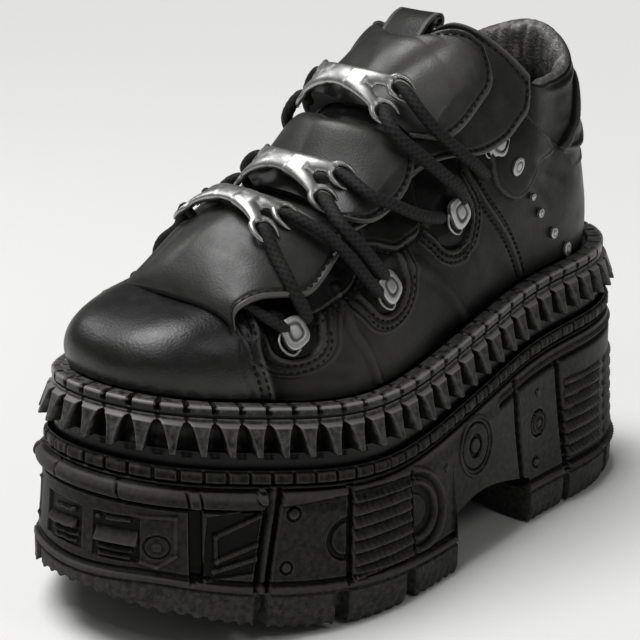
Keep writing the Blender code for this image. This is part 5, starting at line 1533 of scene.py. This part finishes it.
def build_stitching(flaps, look):
    """All rows of thread: two behind the toe cap, two round each pocket, along the seams, and inside each rim."""
    parts = []
    for offset in CAP_STITCHES:
        for path, normal in lateral_and_medial(CAP_EDGE, -offset, 1.75):
            parts.append(stitches(path, normal, 3.0, 2.1, 0.5))
    for line, lift, offsets in ((QUARTER_SEAM, 0.2, (-2.6, 2.6)), (LOBE_ONE, 1.2, (-1.8, -4.0)),
                                (LOBE_TWO, 1.2, (-1.8,))):
        for offset in offsets:
            for path, normal in lateral_and_medial(line, offset, lift):
                parts.append(stitches(path, normal, 3.0, 2.0, 0.46))
    for row in POCKETS:
        for offset in (2.3, 4.9):
            for path, normal in pocket_paths(row, offset, 0.5):
                parts.append(stitches(path, normal, 2.9, 2.0, 0.48))
    for number, (over, normal) in enumerate(flaps):
        parts.append(stitches(*border_path(over, normal, 2.6 if number == 0 else 3.2), 3.2, 2.2, 0.52))
    return piece("thread_rows", parts, look, "upper_leather", angle=80)


# --- Looks ------------------------------------------------------------------------------------------
class Tree:
    """Small helper that adds and joins the nodes of one material."""

    def __init__(self, name):
        self.material = bpy.data.materials.new(name)
        self.material.use_nodes = True
        self.nodes = self.material.node_tree.nodes
        self.links = self.material.node_tree.links
        self.shader = self.nodes["Principled BSDF"]

    def add(self, kind, **inputs):
        node = self.nodes.new(kind)
        for key, value in inputs.items():
            key = key.replace("_", " ")
            if isinstance(value, bpy.types.NodeSocket):
                self.links.new(value, node.inputs[key])
            else:
                node.inputs[key].default_value = value
        return node

    def place(self):
        if not hasattr(self, "coordinates"):
            self.coordinates = self.nodes.new("ShaderNodeTexCoord")
        return self.coordinates.outputs["Object"]

    def noise(self, scale, detail, rough, distort=0.0):
        node = self.add("ShaderNodeTexNoise", Vector=self.place(), Scale=scale, Detail=detail, Roughness=rough,
                        Distortion=distort)
        return node.outputs["Fac"]

    def cells(self, scale):
        return self.add("ShaderNodeTexVoronoi", Vector=self.place(), Scale=scale).outputs["Distance"]

    def attribute(self, name):
        node = self.add("ShaderNodeAttribute")
        node.attribute_name = name
        return node.outputs["Fac"]

    def spread(self, value, low, high, to_low, to_high):
        node = self.add("ShaderNodeMapRange", Value=value, From_Min=low, From_Max=high, To_Min=to_low,
                        To_Max=to_high)
        return node.outputs["Result"]

    def mix(self, share, first, second):
        node = self.nodes.new("ShaderNodeMix")
        node.data_type = "RGBA"
        self.links.new(share, node.inputs["Factor"])
        node.inputs["A"].default_value = (*first, 1.0)
        node.inputs["B"].default_value = (*second, 1.0)
        return node.outputs["Result"]

    def aged(self, scale, dark, plain_tone, light, mottle=0.3):
        """Colour by the mesh's painted light value with a little noise: painted shade in corners, painted
        highlights along edges, darker grooves on the tags.
        """
        total = self.add("ShaderNodeMath")
        total.operation = "MULTIPLY_ADD"
        self.links.new(self.noise(scale, 4.0, 0.6), total.inputs[0])
        total.inputs[1].default_value = mottle
        self.links.new(self.attribute("painted_light_and_groove_dark"), total.inputs[2])
        ramp = self.add("ShaderNodeValToRGB")
        first, last = ramp.color_ramp.elements
        first.position, first.color = 0.12, (*dark, 1.0)
        last.position, last.color = 1.0, (*light, 1.0)
        ramp.color_ramp.elements.new(0.65).color = (*plain_tone, 1.0)
        self.links.new(total.outputs["Value"], ramp.inputs["Fac"])
        return ramp.outputs["Color"]

    def bump(self, height, strength, distance_mm, below=None):
        node = self.add("ShaderNodeBump", Height=height, Strength=strength, Distance=distance_mm * MM)
        if below is not None:
            self.links.new(below, node.inputs["Normal"])
        return node.outputs["Normal"]

    def set(self, **values):
        for key, value in values.items():
            socket = self.shader.inputs[key.replace("_", " ")]
            if isinstance(value, bpy.types.NodeSocket):
                self.links.new(value, socket)
            else:
                socket.default_value = value


def scaled(tone, factor):
    """A tone made darker or lighter."""
    return tuple(factor * part for part in tone)


def leather(name, tone, rough, grain, cell, sheen, edge=6.0, creases=0.0):
    """Black leather: fine cell grain in the bump, slow changes of sheen, painted highlights along edges and
    painted shade in corners.
    """
    tree = Tree(name)
    tree.set(Base_Color=tree.aged(60.0, scaled(tone, 0.3), tone, scaled(tone, edge)))
    tree.set(Roughness=tree.spread(tree.noise(90.0, 4.0, 0.6), 0.3, 0.7, rough - 0.05, rough + 0.07))
    pores = tree.bump(tree.cells(cell), grain, 0.16)
    pores = tree.bump(tree.noise(480.0, 3.0, 0.6, 1.2), creases, 1.0, pores) if creases else pores
    tree.set(Normal=tree.bump(tree.noise(260.0, 3.0, 0.6, 0.6), grain * 0.6, 0.20, pores))
    tree.set(Specular_IOR_Level=tree.spread(tree.attribute("polish"), 0.0, 1.0, sheen, sheen + 0.38))
    return tree.material


def rubber(name, tone, rough, speckle, sheen, edge=8.0):
    """Moulded rubber: matt black, with painted highlights on edges and painted shade in recesses, a dusting of
    grey and small pits.
    """
    tree = Tree(name)
    tree.set(Base_Color=tree.aged(420.0, scaled(tone, 0.25), tone, scaled(tone, edge), 0.42))
    patch = tree.noise(26.0, 3.0, 0.6)
    tree.set(Roughness=tree.spread(patch, 0.3, 0.7, rough - 0.07, rough + 0.08))
    tree.set(Normal=tree.bump(tree.noise(760.0, 3.0, 0.6), speckle, 0.22, tree.bump(patch, 0.25, 1.2)))
    tree.set(Specular_IOR_Level=sheen)
    return tree.material


def metal(name, bright=(0.45, 0.45, 0.437), rough=0.32):
    """Bare cast silver metal: softly bright, faintly pitted, dark in its grooves."""
    tree = Tree(name)
    tree.set(Base_Color=tree.aged(150.0, scaled(bright, 0.04), bright, scaled(bright, 1.3)))
    tree.set(Roughness=tree.spread(tree.noise(500.0, 3.0, 0.6), 0.3, 0.7, rough, rough + 0.14))
    tree.set(Metallic=1.0)
    tree.set(Normal=tree.bump(tree.noise(900.0, 2.0, 0.5), 0.3, 0.08))
    return tree.material


def cord(name, tone=(0.009, 0.009, 0.009), light=(0.028, 0.027, 0.026)):
    """Lace cord: matt black threads, with painted highlights where the strands stand proud and painted shade
    between them.
    """
    tree = Tree(name)
    tree.set(Base_Color=tree.aged(2200.0, scaled(tone, 0.2), tone, light))
    tree.set(Roughness=0.72, Specular_IOR_Level=0.25)
    tree.set(Normal=tree.bump(tree.noise(2200.0, 3.0, 0.7), 0.5, 0.12))
    return tree.material


def fabric(name, tone):
    """Woven cloth, mottled between two tones."""
    tree = Tree(name)
    weave = tree.noise(700.0, 3.0, 0.6)
    tree.set(Base_Color=tree.mix(tree.spread(weave, 0.35, 0.7, 0.0, 1.0), tone, scaled(tone, 1.9)))
    tree.set(Roughness=0.9)
    tree.set(Normal=tree.bump(weave, 0.5, 0.2))
    return tree.material


# The number after a leather's or a rubber's sheen sets how light its painted highlights are.
LOOK = {
    "upper": leather("quarter leather", (0.0048, 0.0046, 0.0044), 0.37, 0.32, 950.0, 0.13, 10.0),
    "flap": leather("flap leather", (0.017, 0.0165, 0.0158), 0.42, 0.24, 1100.0, 0.42, 5.0),
    "tongue": leather("tongue leather", (0.015, 0.0146, 0.0140), 0.42, 0.35, 1000.0, 0.30),
    "lining": leather("collar lining", (0.060, 0.058, 0.056), 0.44, 0.45, 1300.0, 0.6, 5.0, creases=0.75),
    "welt": rubber("welt rubber", (0.0068, 0.0066, 0.0064), 0.34, 0.4, 0.25, 30.0),
    "cog": rubber("midsole rubber", (0.0080, 0.0077, 0.0075), 0.42, 0.5, 0.20, 20.0),
    "platform": rubber("platform rubber", (0.0046, 0.0044, 0.0042), 0.46, 0.5, 0.085, 11.0),
    "tread": rubber("tread rubber", (0.0125, 0.0120, 0.0115), 0.60, 0.5, 0.18),
    "metal": metal("cast metal"),
    "tag": metal("tag metal", (0.44, 0.44, 0.425), 0.42),
    "lace": cord("lace cord"),
    "thread": cord("stitch thread", (0.002, 0.002, 0.002), (0.006, 0.006, 0.006)),
    "insole": fabric("insole fabric", (0.03, 0.029, 0.028)),
}

# --- Building ---------------------------------------------------------------------------------------
build_welt(LOOK["welt"])
build_cog_band(LOOK["cog"])
build_platform(LOOK["platform"])
build_tread("tread_forefoot", "outsole_forefoot", True, LOOK["tread"])
build_tread("tread_heel", "outsole_heel", False, LOOK["tread"])
build_upper(LOOK["upper"])
build_lining(LOOK["lining"])
build_insole(LOOK["insole"])
FLAPS = [build_tongue(LOOK["tongue"]), build_toe_flap(LOOK["flap"]), build_instep_flap(LOOK["flap"]),
         build_ankle_flap(LOOK["flap"])]
build_pull_loop(LOOK["tongue"])
build_collar_pad(LOOK["lining"])
for key in BRIDGES:
    build_bridge(key, LOOK["metal"])
build_tags(LOOK["tag"])
build_studs(LOOK["tag"])
build_laces(LOOK["lace"])
build_stitching(FLAPS, LOOK["thread"])

# --- Floor, light and camera ------------------------------------------------------------------------
FLOOR_HALF, FLOOR_LEVEL = 9, -0.0002      # in metres
scene = bpy.context.scene
scene.view_settings.view_transform = "Standard"
scene.view_settings.look = "None"
scene.view_settings.exposure = 0.0
scene.view_settings.gamma = 1.0


def build_floor():
    """Large pale floor that fills the view."""
    mesh = bpy.data.meshes.new("floor")
    corners = [(-FLOOR_HALF, -FLOOR_HALF), (FLOOR_HALF, -FLOOR_HALF), (FLOOR_HALF, FLOOR_HALF),
               (-FLOOR_HALF, FLOOR_HALF)]
    mesh.from_pydata([(x, y, FLOOR_LEVEL) for x, y in corners], [], [(0, 1, 2, 3)])
    floor = bpy.data.objects.new("floor", mesh)
    scene.collection.objects.link(floor)
    tree = Tree("pale floor")
    tree.set(Base_Color=(0.80, 0.80, 0.785, 1.0), Roughness=0.9)
    mesh.materials.append(tree.material)
    floor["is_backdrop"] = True


def add_lamp(name, kind, power, aim):
    """A lamp turned so that it shines along aim."""
    lamp = bpy.data.lights.new(name, kind)
    lamp.energy = power
    made = bpy.data.objects.new(name, lamp)
    scene.collection.objects.link(made)
    made.rotation_euler = aim.to_track_quat("-Z", "Y").to_euler()
    made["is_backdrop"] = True
    return made


def sky(name, towards, angle_deg, strength):
    """Broad overhead light with even strength everywhere and soft shadows."""
    add_lamp(name, "SUN", strength, -Vector(towards)).data.angle = math.radians(angle_deg)


def light(name, place, target, size, power):
    """Square lamp at a place, aimed at a target."""
    made = add_lamp(name, "AREA", power, Vector(target) - Vector(place))
    made.data.shape = "SQUARE"
    made.data.size = size
    made.location = place


build_floor()
world = bpy.data.worlds.new("studio")
scene.world = world
world.use_nodes = True
world.node_tree.nodes["Background"].inputs["Color"].default_value = (1.0, 1.0, 0.99, 1.0)
world.node_tree.nodes["Background"].inputs["Strength"].default_value = 0.10
sky("sky", (-0.22, -0.16, 0.97), 34.0, 2.78)
light("side", (0.60, -0.04, 0.66), (0.02, -0.01, 0.18), 0.24, 0.50)
light("front", (0.14, -0.56, 0.80), (0.0, -0.02, 0.15), 0.30, 0.8)
light("left", (-0.70, -0.16, 0.62), (0.0, -0.06, 0.12), 0.24, 1.05)

AZIMUTH, ELEVATION, ROLL = math.radians(42.42), math.radians(18.0), math.radians(0.73)
DISTANCE, SENSOR, FOCAL = 800.0, 36.0, 117.061875       # in millimetres
TARGET = np.array([22.67, -51.99, 106.8]) + ORIGIN_SHIFT


def build_camera():
    """Camera that looks at the target from the lateral side and a little above, rolled a little."""
    back = np.array([math.sin(AZIMUTH) * math.cos(ELEVATION), -math.cos(AZIMUTH) * math.cos(ELEVATION),
                     math.sin(ELEVATION)])
    right = np.array([math.cos(AZIMUTH), math.sin(AZIMUTH), 0.0])
    upward = np.cross(back, right)
    c, s = math.cos(ROLL), math.sin(ROLL)
    right, upward = c * right + s * upward, -s * right + c * upward
    lens = bpy.data.cameras.new("view")
    lens.sensor_width = SENSOR
    lens.lens = FOCAL
    lens.clip_start = 0.01
    lens.clip_end = 50.0
    lens.dof.use_dof = False
    made = bpy.data.objects.new("view", lens)
    scene.collection.objects.link(made)
    turned = Matrix([list(row) for row in np.stack([right, upward, back], axis=1)]).to_4x4()
    made.matrix_world = Matrix.Translation(Vector((TARGET + DISTANCE * back) * MM)) @ turned
    scene.camera = made


build_camera()
low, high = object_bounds()
{"frame": [list(FRAME_LOW), list(FRAME_HIGH)], "visual": [list(low), list(high)]}
